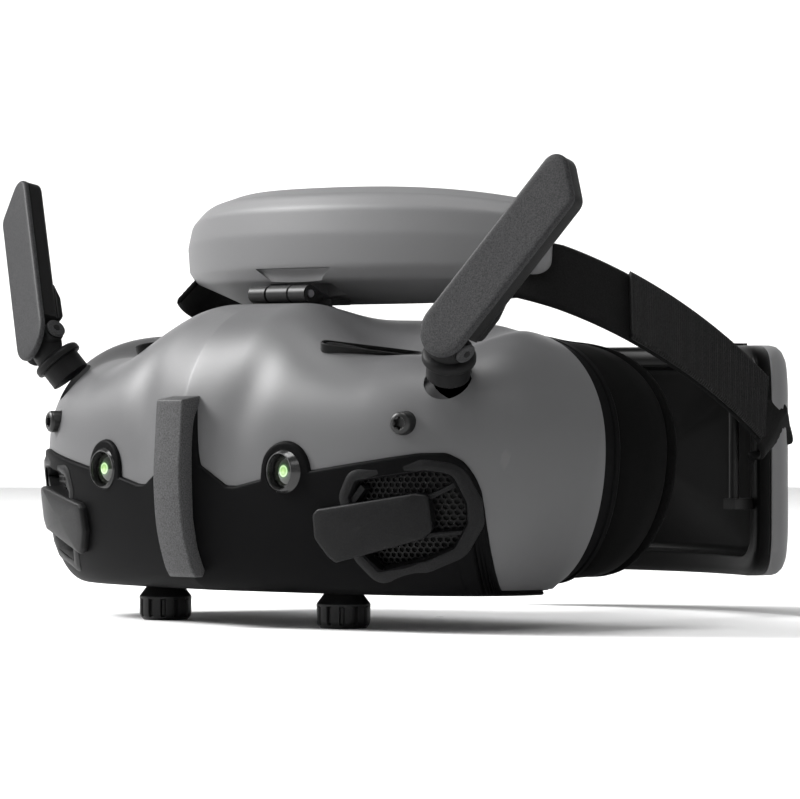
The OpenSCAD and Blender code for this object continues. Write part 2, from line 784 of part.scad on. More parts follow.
// ---- battery pack ----

// Plan of the pack, between the arc of its back and the arc of its hollow face
module pack_plan() {
    difference() {
        intersection() {
            translate([0, pack_back_y - pack_back_r]) circle(r = pack_back_r, $fn = 96);
            translate([-pack_half_w, 100]) square([2 * pack_half_w, 80]);
        }
        translate([0, pack_inner_y - pack_inner_r]) circle(r = pack_inner_r, $fn = 96);
    }
}

module at_pack(z) {
    translate([0, 0, pack_mid_z + z]) children();
}

// The pack's face seen from behind: a plate with round corners
module pack_face() {
    at_pack(0) translate([0, 180, 0]) rotate([90, 0, 0]) linear_extrude(height = 80) hull()
        for (x = [-1, 1]) for (z = [-1, 1])
            translate([x * (pack_half_w - pack_corner), z * (pack_h / 2 - pack_corner)])
                circle(r = pack_corner, $fn = fine);
}

module battery_shell() {
    color([0.3, 0.3, 0.31]) seat() difference() {
        intersection() {
            at_pack(-pack_h / 2) linear_extrude(height = pack_h) pack_plan();
            pack_face();
        }
        at_pack(-pack_h / 2 + wall) linear_extrude(height = pack_h - 2 * wall) difference() {
            intersection() {
                translate([0, pack_back_y - pack_back_r]) circle(r = pack_back_r - wall, $fn = 96);
                translate([-pack_half_w + 5, 100]) square([2 * (pack_half_w - 5), 80]);
            }
            translate([0, pack_inner_y - pack_inner_r]) circle(r = pack_inner_r - 5, $fn = 96);
        }
        at_pack(pack_h / 2 - 3) translate([30, 148, 0]) cylinder(r = 3.2, h = 5, $fn = fine);
        translate([-36, 144.7, pack_mid_z - pack_h / 2 - 1]) cube([9, 3.2, 4]);
    }
}

module battery_inner_cover() {
    color([0.05, 0.05, 0.05]) seat() at_pack(-pack_h / 2 + wall + 0.2)
        linear_extrude(height = pack_h - 2 * wall - 0.4) intersection() {
            difference() {
                translate([0, pack_inner_y - pack_inner_r]) circle(r = pack_inner_r + 1.8, $fn = 96);
                translate([0, pack_inner_y - pack_inner_r]) circle(r = pack_inner_r, $fn = 96);
            }
            translate([-pack_half_w + 5.3, 100]) square([2 * (pack_half_w - 5.3), 80]);
        }
}

// Two flat cells side by side, following the pack's curve
module battery_cells() {
    color([0.2, 0.3, 0.5]) seat() for (side = [-1, 1])
        translate([side * 21, 149.9, pack_mid_z]) rotate(-side * 12) block([-18, -3.5, -22], [18, 3.3, 22]);
}

module power_button() {
    color([0.1, 0.1, 0.1]) seat() at_pack(pack_h / 2) translate([30, 148, 0]) {
        translate([0, 0, -1.8]) cylinder(r = 2.9, h = 2.4, $fn = fine);
        translate([0, 0, -2.8]) cylinder(r = 1.6, h = 1.2, $fn = fine);
    }
}

module battery_port() {
    color([0.5, 0.5, 0.52]) seat() difference() {
        translate([-35.9, 144.8, pack_mid_z - pack_h / 2]) cube([8.8, 3, 5]);
        translate([-35.4, 145.3, pack_mid_z - pack_h / 2 - 1]) cube([7.8, 2, 5]);
    }
}

// The bars that the straps are looped round, each between two lugs on the pack's inner face
module strap_bars() {
    color([0.08, 0.08, 0.08]) seat() for (side = [-1, 1]) on_side(side) translate([51, 126, -4]) {
        translate([0, 0, -17]) cylinder(r = 1.2, h = 34, $fn = fine);
        for (z = [-17, 14.4]) translate([-2, -1.6, z]) cube([4, 7.2, 2.6]);
    }
}

// ---- the parts ----

upper_shell();
lower_cover();
center_fin();
bottom_plate();
frame_ring();
light_shield();
face_foam();
eye_plate();
bulkhead();
camera_bezel_left();
camera_bezel_right();
camera_modules();
camera_lenses();
shell_screws();
base_screws();
top_vent_grilles();
intake_panel_left();
intake_panel_right();
intake_meshes();
hinge_bracket();
hinge_pin();
guide_rod();
main_board();
heat_sink();
fan_housing();
fan_rotor();
proximity_sensor();
joystick();
back_button();
record_button();
usb_c_port();
card_tray();
ipd_carriage_left();
ipd_carriage_right();
display_left();
display_right();
eyepiece_left();
eyepiece_right();
eyepiece_lens_left();
eyepiece_lens_right();
focus_knob_left();
focus_knob_right();
antenna_collar_left();
antenna_collar_right();
antenna_blade_left();
antenna_blade_right();
antenna_cap_left();
antenna_cap_right();
pad_shell();
pad_cushion();
strap_left();
strap_right();
strap_fold_left();
strap_fold_right();
battery_shell();
battery_inner_cover();
battery_cells();
power_button();
battery_port();
strap_bars();
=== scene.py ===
"""Looks for the video goggles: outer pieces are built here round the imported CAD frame, and the
CAD nodes that stay, such as the buttons and the inside, are painted.

Shapes are worked out in millimetres from the same datum as the CAD part (centre plane, camera
front, screw height) and moved to the row frame in metres when a mesh is made.
"""
import json
import math

import bpy
import numpy as np
from mathutils import Matrix, Vector


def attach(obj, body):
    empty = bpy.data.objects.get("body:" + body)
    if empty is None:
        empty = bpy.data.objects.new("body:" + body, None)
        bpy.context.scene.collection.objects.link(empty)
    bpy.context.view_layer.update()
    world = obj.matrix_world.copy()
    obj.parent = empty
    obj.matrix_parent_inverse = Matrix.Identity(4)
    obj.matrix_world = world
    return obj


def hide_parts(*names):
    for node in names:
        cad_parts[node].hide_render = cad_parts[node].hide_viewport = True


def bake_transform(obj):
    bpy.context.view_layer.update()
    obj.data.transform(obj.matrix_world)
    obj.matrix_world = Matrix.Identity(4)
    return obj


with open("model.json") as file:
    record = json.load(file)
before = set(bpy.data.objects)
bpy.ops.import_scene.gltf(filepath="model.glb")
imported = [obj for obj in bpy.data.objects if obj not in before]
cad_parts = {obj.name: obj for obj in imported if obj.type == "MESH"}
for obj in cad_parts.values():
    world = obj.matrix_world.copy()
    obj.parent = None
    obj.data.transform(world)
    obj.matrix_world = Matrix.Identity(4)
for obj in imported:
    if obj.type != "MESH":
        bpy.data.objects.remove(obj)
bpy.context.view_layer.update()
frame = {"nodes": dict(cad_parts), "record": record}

# ---- datum and driving sizes, millimetres ----

DATUM = np.array([0.0, -77.0, 47.0])
HALF_W = 86.0
SHELL_BACK = 49.0
HUMP_TOP = 27.7
BROW_TOP = 15.5
BELLY = 38.0
HALF_IPD = 32.0
CAMERA_DROP = 11.0
CAMERA_HOLE_R = 4.9
FIN_W = 9.4
SCREW_X, SCREW_Y = 62.6, 8.5
SCREW_TURN = math.radians(17)
HINGE_POS = np.array([0, 27.0, 30.0])
KNOB_Y = 18
COLLAR_POS = np.array([69.7, 16.1, 14.0])
COLLAR_AXIS = np.array([0.485, -0.391, 0.782])
PIN_RISE = 6.4
BLADE_DIR = np.array([0.55, 0.315, 0.775])
BLADE_SIDE = np.array([0.82, 0.06, -0.57])
BLADE_L = 48.0
BLADE_W = 13.0


# ---- small maths ----

def unit(v):
    v = np.asarray(v, float)
    return v / np.linalg.norm(v, axis=-1, keepdims=True)


def ease(a, b, x):
    t = np.clip((x - a) / (b - a), 0, 1)
    return t * t * (3 - 2 * t)


def bez(a, b, c, d, t):
    return (1 - t) ** 3 * a + 3 * t * (1 - t) ** 2 * b + 3 * t * t * (1 - t) * c + t ** 3 * d


def running_length(path):
    """The length along a path up to each of its points."""
    return np.concatenate([[0], np.cumsum(np.linalg.norm(np.diff(path, axis=0), axis=1))])


def bump(x, centre, width):
    return np.exp(-((x - centre) / width) ** 2)


def frame_of(direction, side):
    """Columns x, y, z of a frame whose z is direction and whose x is near side."""
    z = unit(direction)
    y = unit(np.cross(z, side))
    return np.array([np.cross(y, z), y, z]).T


# ---- the housing's skin: s runs from side to side, h from the belly to the roof ----

def front_x(s):
    return np.sign(s) * bez(0, 50, HALF_W, HALF_W, np.abs(s))


def front_y(s):
    return bez(-4, 2.2, 4.6, SHELL_BACK, np.abs(s))


def mid_z(s):
    return -10 + 4 * np.abs(s)


def crest_z(s):
    x = np.abs(front_x(s))
    return BROW_TOP + (HUMP_TOP - BROW_TOP) * (1 - ease(14, 52, x)) + 5.5 * ease(64, HALF_W, x)


def skin(s, h):
    s, h = np.broadcast_arrays(np.asarray(s, float), np.asarray(h, float))
    a = np.abs(s)
    up = h >= 0
    arc = np.where(up, np.clip(h / 0.6, 0, 1), np.clip(-h, 0, 1)) * math.pi / 2
    power = np.where(up, 2 / 2.2, 2 / (2.6 - 0.6 * a))
    crest_share = 0.54 - 0.12 * ease(0, 0.5, a) + 0.55 * a ** 4
    share = np.where(up, crest_share, 0.22 + 0.78 * a ** 6)
    run = np.where(up, np.clip((h - 0.6) / 0.4, 0, 1), 0)
    w = share * (1 - np.maximum(np.cos(arc), 0) ** power) + (1 - share) * run
    goal_x = front_x(s) * np.where(up, 0.64, 0.744)
    rise = np.sin(arc) ** power
    roof = 24 - 3 * s * s
    z_up = mid_z(s) + (crest_z(s) - mid_z(s)) * rise + (roof - crest_z(s)) * ease(0, 1, run)
    z_low = mid_z(s) - (BELLY + mid_z(s)) * rise
    x = front_x(s) + (goal_x - front_x(s)) * w
    y = front_y(s) + (SHELL_BACK - front_y(s)) * w
    return np.stack([x, y, np.where(up, z_up, z_low)], axis=-1)


def skin_normal(s, h):
    d = 0.004
    s, h = np.broadcast_arrays(np.asarray(s, float), np.asarray(h, float))
    ds = skin(np.clip(s + d, -1, 1), h) - skin(np.clip(s - d, -1, 1), h)
    dh = skin(s, np.clip(h + d, -1, 1)) - skin(s, np.clip(h - d, -1, 1))
    return unit(np.cross(ds, dh))


def lifted(s, h, gap):
    return skin(s, h) + np.asarray(gap)[..., None] * skin_normal(s, h)


SEAM_X = [0, 4.9, 6, 14.5, 17.5, 26, 39, 66, 71.5, 74.5, 76.6, 77.7, 78.3]
SEAM_Z = [4, 4, -9.2, -14.2, -14.2, -12.4, -10.6, -6.5, -6.4, -8.4, -12.8, -19, -40]
ARC_R = 7.1


def seam_z(x):
    """Height of the seam between the upper shell and the cover, with an arc over each camera."""
    a = np.abs(x)
    line = sum(np.interp(a + d, SEAM_X, SEAM_Z) for d in (-0.7, -0.35, 0, 0.35, 0.7)) / 5
    reach = ARC_R ** 2 - (a - HALF_IPD - 0.4) ** 2
    arc = np.sqrt(np.maximum(reach, 0)) - CAMERA_DROP
    blend = np.clip(0.5 + (arc - line) / 1.6, 0, 1)
    smooth_max = line + (arc - line) * blend + 0.8 * blend * (1 - blend)
    return np.where(reach > 0, smooth_max, line)


def height_to_h(s, z):
    """The skin's h at height z on the front of column s."""
    m = mid_z(s)
    z = np.maximum(z, -BELLY + 0.4)
    up = 0.6 / (math.pi / 2) * np.arcsin(np.clip((z - m) / (crest_z(s) - m), 0, 1) ** 1.1)
    power = (2.6 - 0.6 * np.abs(s)) / 2
    low = -np.arcsin(np.clip((m - z) / (BELLY + m), 0, 1) ** power) / (math.pi / 2)
    return np.where(z >= m, up, low)


# ---- mesh helpers ----

def to_row(points):
    return (np.asarray(points, float) + DATUM) / 1000


def add_mesh(name, verts, faces, smooth=True, at_datum=True):
    mesh = bpy.data.meshes.new(name)
    verts = to_row(verts) if at_datum else np.asarray(verts, float)
    mesh.from_pydata([tuple(v) for v in verts], [], [tuple(int(i) for i in f) for f in faces])
    mesh.validate()
    mesh.update()
    obj = bpy.data.objects.new(name, mesh)
    bpy.context.scene.collection.objects.link(obj)
    return smoothed(obj) if smooth else obj


def smoothed(obj):
    for poly in obj.data.polygons:
        poly.use_smooth = True
    return obj


def grid_faces(nu, nv, start=0, flip=False, wrap_u=False, wrap_v=False):
    faces = []
    for i in range(nu if wrap_u else nu - 1):
        for j in range(nv if wrap_v else nv - 1):
            i2, j2 = (i + 1) % nu, (j + 1) % nv
            quad = [start + i * nv + j, start + i2 * nv + j, start + i2 * nv + j2,
                start + i * nv + j2]
            faces.append(quad[::-1] if flip else quad)
    return faces


def skin_object(name, outer, inner):
    """A closed skin between two grids of points (nu, nv, 3)."""
    nu, nv = outer.shape[:2]
    size = nu * nv
    verts = np.concatenate([outer.reshape(-1, 3), inner.reshape(-1, 3)])
    faces = grid_faces(nu, nv) + grid_faces(nu, nv, size, flip=True)
    rim = ([i * nv for i in range(nu)] + [(nu - 1) * nv + j for j in range(1, nv)]
        + [i * nv + nv - 1 for i in range(nu - 2, -1, -1)] + [j for j in range(nv - 2, 0, -1)])
    for a, b in zip(rim, rim[1:] + rim[:1]):
        faces.append([b, a, size + a, size + b])
    return add_mesh(name, verts, faces)


def tube_object(name, rings, cap=True, close=False):
    """A surface through rings of points (n rings, m points, 3)."""
    rings = np.asarray(rings, float)
    n, m = rings.shape[:2]
    faces = grid_faces(n, m, wrap_v=True, wrap_u=close)
    if cap and not close:
        faces += [list(range(m)), [(n - 1) * m + i for i in range(m)][::-1]]
    return add_mesh(name, rings.reshape(-1, 3), faces)


def turned(profile, origin, axes, angles):
    """Rings of a (radius, height) profile about the z of axes (columns) through origin."""
    return [[origin + axes @ np.array([r * math.cos(a), r * math.sin(a), z]) for a in angles] for r,
        z in profile]


def full_turn(steps):
    return np.linspace(0, 2 * math.pi, steps, endpoint=False)


def lathe(name, profile, origin, axes, steps=64, cap=True):
    return tube_object(name, turned(profile, origin, axes, full_turn(steps)), cap=cap)


def oriented(obj):
    """Faces turned outward: the signed volume says which way they point."""
    mesh = obj.data
    mesh.calc_loop_triangles()
    corners = ([mesh.vertices[i].co for i in t.vertices] for t in mesh.loop_triangles)
    if sum(a.dot(b.cross(c)) for a, b, c in corners) < 0:
        mesh.flip_normals()
    return obj


def mirror_in_place(obj):
    obj.data.transform(Matrix.Scale(-1, 4, Vector((1, 0, 0))))
    obj.data.flip_normals()
    return obj


def on_side(obj, side):
    return obj if side > 0 else mirror_in_place(obj)


def mirrored(obj, name):
    """A copy of obj on the other side of the centre plane."""
    copy = obj.copy()
    copy.data = obj.data.copy()
    copy.name = copy.data.name = name
    bpy.context.scene.collection.objects.link(copy)
    return mirror_in_place(copy)


def bevel(obj, width, segments=3, angle=35):
    mod = obj.modifiers.new("bevel", "BEVEL")
    mod.width = width / 1000
    mod.segments = segments
    mod.limit_method = "ANGLE"
    mod.angle_limit = math.radians(angle)
    return obj


def apply_modifiers(obj):
    graph = bpy.context.evaluated_depsgraph_get()
    mesh = bpy.data.meshes.new_from_object(obj.evaluated_get(graph))
    old = obj.data
    obj.modifiers.clear()
    obj.data = mesh
    bpy.data.meshes.remove(old)
    return obj


def cut(obj, cutter, operation="DIFFERENCE"):
    mod = obj.modifiers.new("cut", "BOOLEAN")
    mod.operation = operation
    mod.solver = "MANIFOLD"
    mod.object = cutter
    oriented(cutter)
    bpy.context.view_layer.update()
    apply_modifiers(obj)
    bpy.data.objects.remove(cutter)
    return obj


def shade_by_angle(obj, degrees=35):
    bpy.context.view_layer.objects.active = smoothed(obj)
    obj.data.set_sharp_from_angle(angle=math.radians(degrees))
    return obj


# ---- materials ----

MATERIALS = {}


def material(name, base, rough, metallic=0.0, specular=0.5, coat=0.0, coat_rough=0.1):
    mat = bpy.data.materials.new(name)
    mat.use_nodes = True
    bsdf = mat.node_tree.nodes["Principled BSDF"]
    for key, value in (("Base Color", (*base, 1)), ("Roughness", rough), ("Metallic", metallic),
            ("Specular IOR Level", specular), ("Coat Weight", coat),
            ("Coat Roughness", coat_rough)):
        bsdf.inputs[key].default_value = value
    MATERIALS[name] = mat
    return mat.node_tree, bsdf


def node(tree, kind, *slots, operation=None, **named):
    """A shader node. Its inputs, by place or by name (_ for a space), are values or sockets."""
    n = tree.nodes.new("ShaderNode" + kind)
    if operation:
        n.operation = operation
    given = [(n.inputs[i], value) for i, value in enumerate(slots)]
    given += [(n.inputs[key.replace("_", " ")], value) for key, value in named.items()]
    for socket, value in given:
        if isinstance(value, bpy.types.NodeSocket):
            tree.links.new(value, socket)
        else:
            socket.default_value = value
    return n


BLOTCH_SCALE = 28.0
# Pointiness range over which sharp outer edges are painted lighter: a painted edge highlight.
EDGE_HIGHLIGHT_SPAN = (0.52, 0.62)
GLOSS_SPREAD = 0.05


def moulded(name, base, rough, grain, depth, speckle=0.0, blotch=0.06, specular=0.5, edge_highlight=0.0,
        metallic=0.0):
    """Moulded plastic: a fine grain in the bump, with slight changes of tone and gloss, and a
    painted highlight that lightens sharp outer edges.
    """
    tree, bsdf = material(name, base, rough, metallic, specular)
    at = node(tree, "TexCoord").outputs["Object"]
    fine = node(tree, "TexNoise", Vector=at, Scale=grain, Detail=3.0, Roughness=0.6).outputs["Fac"]
    broad = node(tree, "TexNoise", Vector=at, Scale=BLOTCH_SCALE, Detail=4.0).outputs["Fac"]
    tone = node(tree, "MapRange", Value=broad, To_Min=1 - blotch, To_Max=1 + blotch)
    spot = node(tree, "MapRange", Value=fine, From_Min=0.3, From_Max=0.7, To_Min=1 - speckle,
        To_Max=1 + speckle)
    both = node(tree, "Math", tone.outputs["Result"], spot.outputs["Result"], operation="MULTIPLY")
    scaled = node(tree, "VectorMath", base, Scale=both.outputs["Value"], operation="SCALE")
    out = scaled.outputs["Vector"]
    # Sharp outer edges are painted lighter in colour: a painted highlight on the edges.
    if edge_highlight > 0:
        highlit = (*(min(1, c * 2.2 + 0.02) for c in base), 1)
        edge = node(tree, "MapRange", Value=node(tree, "NewGeometry").outputs["Pointiness"],
            From_Min=EDGE_HIGHLIGHT_SPAN[0], From_Max=EDGE_HIGHLIGHT_SPAN[1], To_Min=0, To_Max=edge_highlight)
        mix = node(tree, "MixRGB", Fac=edge.outputs["Result"], Color1=out, Color2=highlit)
        out = mix.outputs["Color"]
    gloss = node(tree, "MapRange", Value=broad, To_Min=rough - GLOSS_SPREAD,
        To_Max=rough + GLOSS_SPREAD)
    relief = node(tree, "Bump", Height=fine, Strength=0.5, Distance=depth / 1000)
    for socket, key in ((out, "Base Color"), (gloss.outputs["Result"], "Roughness"),
            (relief.outputs["Normal"], "Normal")):
        tree.links.new(socket, bsdf.inputs[key])


# The painted green glow on each camera's glass: its reach in millimetres and its colour stops from
# the middle out.
GLOW_REACH = 4.0
GLOW_STOPS = [(0.0, (0.35, 0.5, 0.2)), (0.2, (0.2, 0.36, 0.12)), (0.3, (0.42, 0.6, 0.32)),
    (0.36, (0.02, 0.06, 0.015)), (0.5, (0.006, 0.012, 0.004)), (0.7, (0.012, 0.013, 0.01)),
    (1.0, (0.008, 0.009, 0.008))]


def lens_glass():
    """Dark coated glass with a painted green glow in the middle of each camera, given as base
    colour and emission.
    """
    tree, bsdf = material("camera_glass", (0.01, 0.012, 0.01), 0.08, coat=0.6, coat_rough=0.03)
    parts = node(tree, "SeparateXYZ", node(tree, "TexCoord").outputs["Object"])
    side = node(tree, "Math", parts.outputs["X"], operation="ABSOLUTE")
    flat = node(tree, "CombineXYZ", X=side.outputs["Value"], Z=parts.outputs["Z"])
    middle = ((HALF_IPD + 0.3) / 1000, 0, (DATUM[2] - CAMERA_DROP + 0.1) / 1000)
    away = node(tree, "VectorMath", flat.outputs["Vector"], middle, operation="DISTANCE")
    share = node(tree, "Math", away.outputs["Value"], 1000 / GLOW_REACH, operation="MULTIPLY")
    ramp = node(tree, "ValToRGB", share.outputs["Value"])
    elements = ramp.color_ramp.elements
    elements[0].position, elements[1].position = GLOW_STOPS[0][0], GLOW_STOPS[-1][0]
    for position, _ in GLOW_STOPS[1:-1]:
        elements.new(position)
    for element, (_, colour) in zip(elements, GLOW_STOPS):
        element.color = (*colour, 1)
    # The painted glow goes to the base colour and to the emission, so the glass glows though it is
    # no lamp.
    for key in ("Base Color", "Emission Color"):
        tree.links.new(ramp.outputs["Color"], bsdf.inputs[key])
    bsdf.inputs["Emission Strength"].default_value = 0.35


# name, grey, blue, roughness, grain, relief (mm), speckle, blotch, specular, painted edge
# highlight, metallic
MOULDED = [
    ("shell_grey", 0.085, 0.087, 0.42, 5200, 0.02, 0.02, 0.02, 0.3, 0.1, 0),
    ("pad_grey", 0.125, 0.127, 0.5, 5200, 0.02, 0.02, 0.02, 0.25, 0.1, 0),
    ("cover_black", 0.0035, 0.0037, 0.45, 4200, 0.04, 0.15, 0.06, 0.02, 0.05, 0),
    ("fin_grey", 0.05, 0.051, 0.5, 3000, 0.1, 0.5, 0.06, 0.15, 0.15, 0),
    ("blade_grey", 0.026, 0.027, 0.48, 3000, 0.1, 0.6, 0.06, 0.1, 0.15, 0),
    ("blade_black", 0.006, 0.0062, 0.5, 3600, 0.06, 0.25, 0.06, 0.1, 0.1, 0),
    ("panel_black", 0.005, 0.0053, 0.45, 3000, 0.1, 0.6, 0.06, 0.12, 0.15, 0),
    ("inner_black", 0.0012, 0.0012, 0.35, 3000, 0.01, 0, 0.06, 0.03, 0, 0),
    ("soft_rubber", 0.0015, 0.0015, 0.7, 2500, 0.04, 0, 0.06, 0.05, 0, 0),
    ("knob_black", 0.006, 0.0063, 0.42, 3600, 0.04, 0.2, 0.06, 0.2, 0.25, 0),
    ("hinge_black", 0.006, 0.006, 0.42, 3600, 0.03, 0, 0.06, 0.2, 0.15, 0),
    ("button_rubber", 0.006, 0.006, 0.55, 3000, 0.03, 0, 0.06, 0.15, 0, 0),
    ("mesh_black", 0.003, 0.003, 0.45, 3000, 0.03, 0, 0.06, 0.15, 0, 0),
    ("foam_fabric", 0.002, 0.002, 0.9, 1600, 0.15, 0.4, 0.06, 0.05, 0, 0),
    ("strap_weave", 0.004, 0.004, 0.75, 2200, 0.12, 0.5, 0.06, 0.08, 0, 0),
    ("strap_ribbed", 0.010, 0.010, 0.6, 2200, 0.12, 0.5, 0.06, 0.15, 0, 0),
    ("gloss_black", 0.012, 0.012, 0.2, 2000, 0.004, 0, 0.06, 0.5, 0, 0),
    ("steel", 0.5, 0.52, 0.3, 2600, 0.01, 0, 0.06, 0.5, 0, 1),
    ("heat_sink_metal", 0.55, 0.57, 0.4, 2600, 0.02, 0, 0.06, 0.5, 0, 1),
    ("camera_body", 0.12, 0.12, 0.4, 2600, 0.01, 0, 0.06, 0.5, 0, 1),
    ("screw_black", 0.02, 0.02, 0.35, 2600, 0.01, 0, 0.06, 0.5, 0, 0.6),
]


def make_materials():
    for name, grey, blue, *look in MOULDED:
        moulded(name, (grey, grey, blue), *look)
    moulded("board", (0.01, 0.06, 0.03), 0.4, 900, 0.05, speckle=0.3)
    moulded("cell_foil", (0.25, 0.27, 0.3), 0.35, 700, 0.2)
    material("display_black", (0.004, 0.004, 0.01), 0.1, coat=1.0)
    material("eye_glass", (0.03, 0.035, 0.045), 0.04, coat=1.0)
    lens_glass()


def paint(obj, name):
    obj.data.materials.clear()
    obj.data.materials.append(MATERIALS[name])


def piece(obj, body, slot, *replaced):
    paint(obj, slot)
    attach(obj, body)
    if replaced:
        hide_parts(*replaced)
    return obj


# ---- housing ----

def seam_columns(count, limit):
    """Values of s spaced evenly along the seam, so that its steep ends stay crisp."""
    s = np.linspace(0, limit, 4001)
    x, z = front_x(s), seam_z(front_x(s))
    length = np.concatenate([[0], np.cumsum(np.hypot(np.diff(x), np.diff(z)))])
    half = np.interp(np.linspace(0, length[-1], count), length, s)
    return np.concatenate([-half[:0:-1], half])


def relief(s, h):
    """Sculpting of the front, in millimetres along the normal."""
    p = skin(s, h)
    x, z = np.abs(p[..., 0]), p[..., 2]
    front = 1 - ease(8, 30, p[..., 1])
    nose = 0.5 * bump(x, 0, 9) * bump(z, 8, 16)
    socket = -0.9 * bump(x, 17 + 0.12 * (z + 5), 6) * bump(z, 4, 13)
    cheek = 0.35 * bump(x, 44, 14) * bump(z, 6, 8)
    return front * (nose + socket + cheek)


def inner_offset(x, z, reach):
    """The height of a curve offset inward by reach, as a rolling disc leaves it."""
    near = np.abs(x.ravel()[:, None] - x.ravel()[None, :])
    under = z.ravel()[None, :] - np.sqrt(np.maximum(reach ** 2 - near ** 2, 0))
    return np.where(near <= reach + 1e-9, under, np.inf).min(axis=1)[:, None]


def fanned(s, even, start, end, steps):
    """Columns that run from s at the height start to evenly spaced ones at the height end."""
    f = np.linspace(0, 1, steps)[None, :]
    across = s + (even - s) * ease(0, 1, f)
    return across, height_to_h(across, start + (end - start) * f)


SHELL_WALL, COVER_GAP, COVER_WALL = 2.0, 0.15, 1.2
CONTROL_HOLES = ((36, -6, 4.2), (38, -16, 2.7), (38, 4, 2.7))  # y, z, radius


def build_shells():
    s = seam_columns(330, 1.0)[:, None]
    even = np.linspace(-1, 1, len(s))[:, None]
    foot = np.maximum(seam_z(front_x(s)) - 2.2, -38)
    across, h = fanned(s, even, foot, 9.0, 30)
    shoulder = h[:, -1:]
    s = np.concatenate([across[:, :-1], np.broadcast_to(even, (len(even), 90))], axis=1)
    h = np.concatenate([h[:, :-1], shoulder + (1 - shoulder) * np.linspace(0, 1, 90)[None, :]],
        axis=1)
    d = relief(s, h)
    upper = skin_object("upper_shell_visual", lifted(s, h, d), lifted(s, h, d - SHELL_WALL))
    for side in (-1, 1):
        for tool in (camera_tool, vent_tool, collar_tool, screw_tool):
            cut(upper, tool(side))
    for y, z, r in CONTROL_HOLES:
        cut(upper, rod_tool("button_tool", (-HALF_W - 8, y, z), (1, 0, 0), r, 20))
    piece(shade_by_angle(upper, 40), "housing", "shell_grey", "upper_shell")

    s = seam_columns(320, 0.867)[:, None]
    even = np.linspace(s[0, 0], s[-1, 0], len(s))[:, None]
    x = front_x(s)
    top = seam_z(x) - COVER_GAP
    insets = [3.0, 2.2, 1.6, 1.1, 0.75, 0.5, 0.32, 0.18, 0.07, 0.0]
    lifts = [0.9, 0.9, 0.9, 0.9, 0.87, 0.8, 0.7, 0.52, 0.3, 0.05]
    heights = [inner_offset(x, top, i) for i in insets]
    waist = np.minimum(-24.0, heights[0] - 1)
    across, middle = fanned(s, even, heights[0], waist, 26)
    low = -1 + (middle[:, -1:] + 1) * np.linspace(0, 1, 40)[None, :-1]
    edge = np.concatenate([height_to_h(s, z) for z in heights[1:]], axis=1)
    h = np.concatenate([low, middle[:, ::-1], edge], axis=1)
    s = np.concatenate([np.broadcast_to(even, low.shape), across[:, ::-1],
        np.broadcast_to(s, edge.shape)], axis=1)
    gap = np.broadcast_to(np.array([0.9] * (h.shape[1] - len(lifts)) + lifts), h.shape)
    d = relief(s, h)
    inner = lifted(s, h, d - COVER_WALL)
    lower = skin_object("lower_cover_visual", lifted(s, h, d + gap), inner)
    for side in (-1, 1):
        cut(lower, camera_tool(side))
        cut(lower, intake_tool(side))
    piece(shade_by_angle(lower, 45), "housing", "cover_black", "lower_cover")


# ---- cutting tools ----

def rod_tool(name, start, direction, radius, length, steps=48):
    axes = frame_of(direction, (0.3, 0.5, 0.8))
    return lathe(name, [(radius, 0), (radius, length)], np.array(start, float), axes, steps)


def camera_tool(side):
    return rod_tool("camera_tool", (side * HALF_IPD, -20, -CAMERA_DROP), (0, 1, 0), CAMERA_HOLE_R,
        34)


def flipped_x(points, side):
    points = np.array(points, float)
    points[..., 0] *= side
    return points


def prism(name, outline, low, high, place, side=1):
    """An outline of (u, v) points between two depths; place turns (u, v, w) into the datum."""
    n = len(outline)
    verts = [place(u, v, low) for u, v in outline] + [place(u, v, high) for u, v in outline]
    faces = [list(range(n))[::-1], [n + i for i in range(n)]]
    faces += [[i, (i + 1) % n, n + (i + 1) % n, n + i] for i in range(n)]
    return oriented(add_mesh(name, flipped_x(verts, side), faces, smooth=False))


def rounded_outline(corners, radii, steps=8):
    """A closed polygon with its corners rounded."""
    out = []
    n = len(corners)
    for i in range(n):
        p = np.array(corners[i], float)
        before, after = unit(np.array(corners[i - 1]) - p), unit(np.array(corners[(i + 1) % n]) - p)
        half = math.acos(float(np.clip(before @ after, -1, 1))) / 2
        reach = radii[i] / math.tan(half)
        a, b = p + before * reach, p + after * reach
        for k in range(steps + 1):
            t = k / steps
            out.append((1 - t) ** 2 * a + 2 * t * (1 - t) * p + t * t * b)
    return out


def placed(origin, axes):
    """A function that takes (u, v, w) in a frame to the datum."""
    return lambda u, v, w: np.asarray(origin) + axes @ np.array([u, v, w])


vent_place = placed((40, 20, 17), frame_of((0.24, -0.06, 0.97), (0.69, 0.72, -0.06)))
blade_place = placed(COLLAR_POS + PIN_RISE * unit(COLLAR_AXIS), frame_of(BLADE_DIR, BLADE_SIDE))
VENT = [(-11.4, -1.8), (11.4, -1.8), (11.4, 1.8), (-11.4, 1.8)]


def vent_tool(side):
    return prism("vent_tool", rounded_outline(VENT, [1.7] * 4), -6, 6, vent_place, side)


def collar_tool(side):
    axes = frame_of(COLLAR_AXIS, (1, 0, 0))
    tool = lathe("collar_tool", [(5.4, -8), (5.4, 0.3), (6.6, 0.3), (7.6, 10)], COLLAR_POS, axes,
        64)
    return on_side(tool, side)


def screw_tool(side):
    a = SCREW_TURN
    tool = rod_tool("screw_tool", (SCREW_X + 10 * math.sin(a), SCREW_Y - 10 * math.cos(a), 0),
        (-math.sin(a), math.cos(a), 0), 2.7, 20)
    return on_side(tool, side)


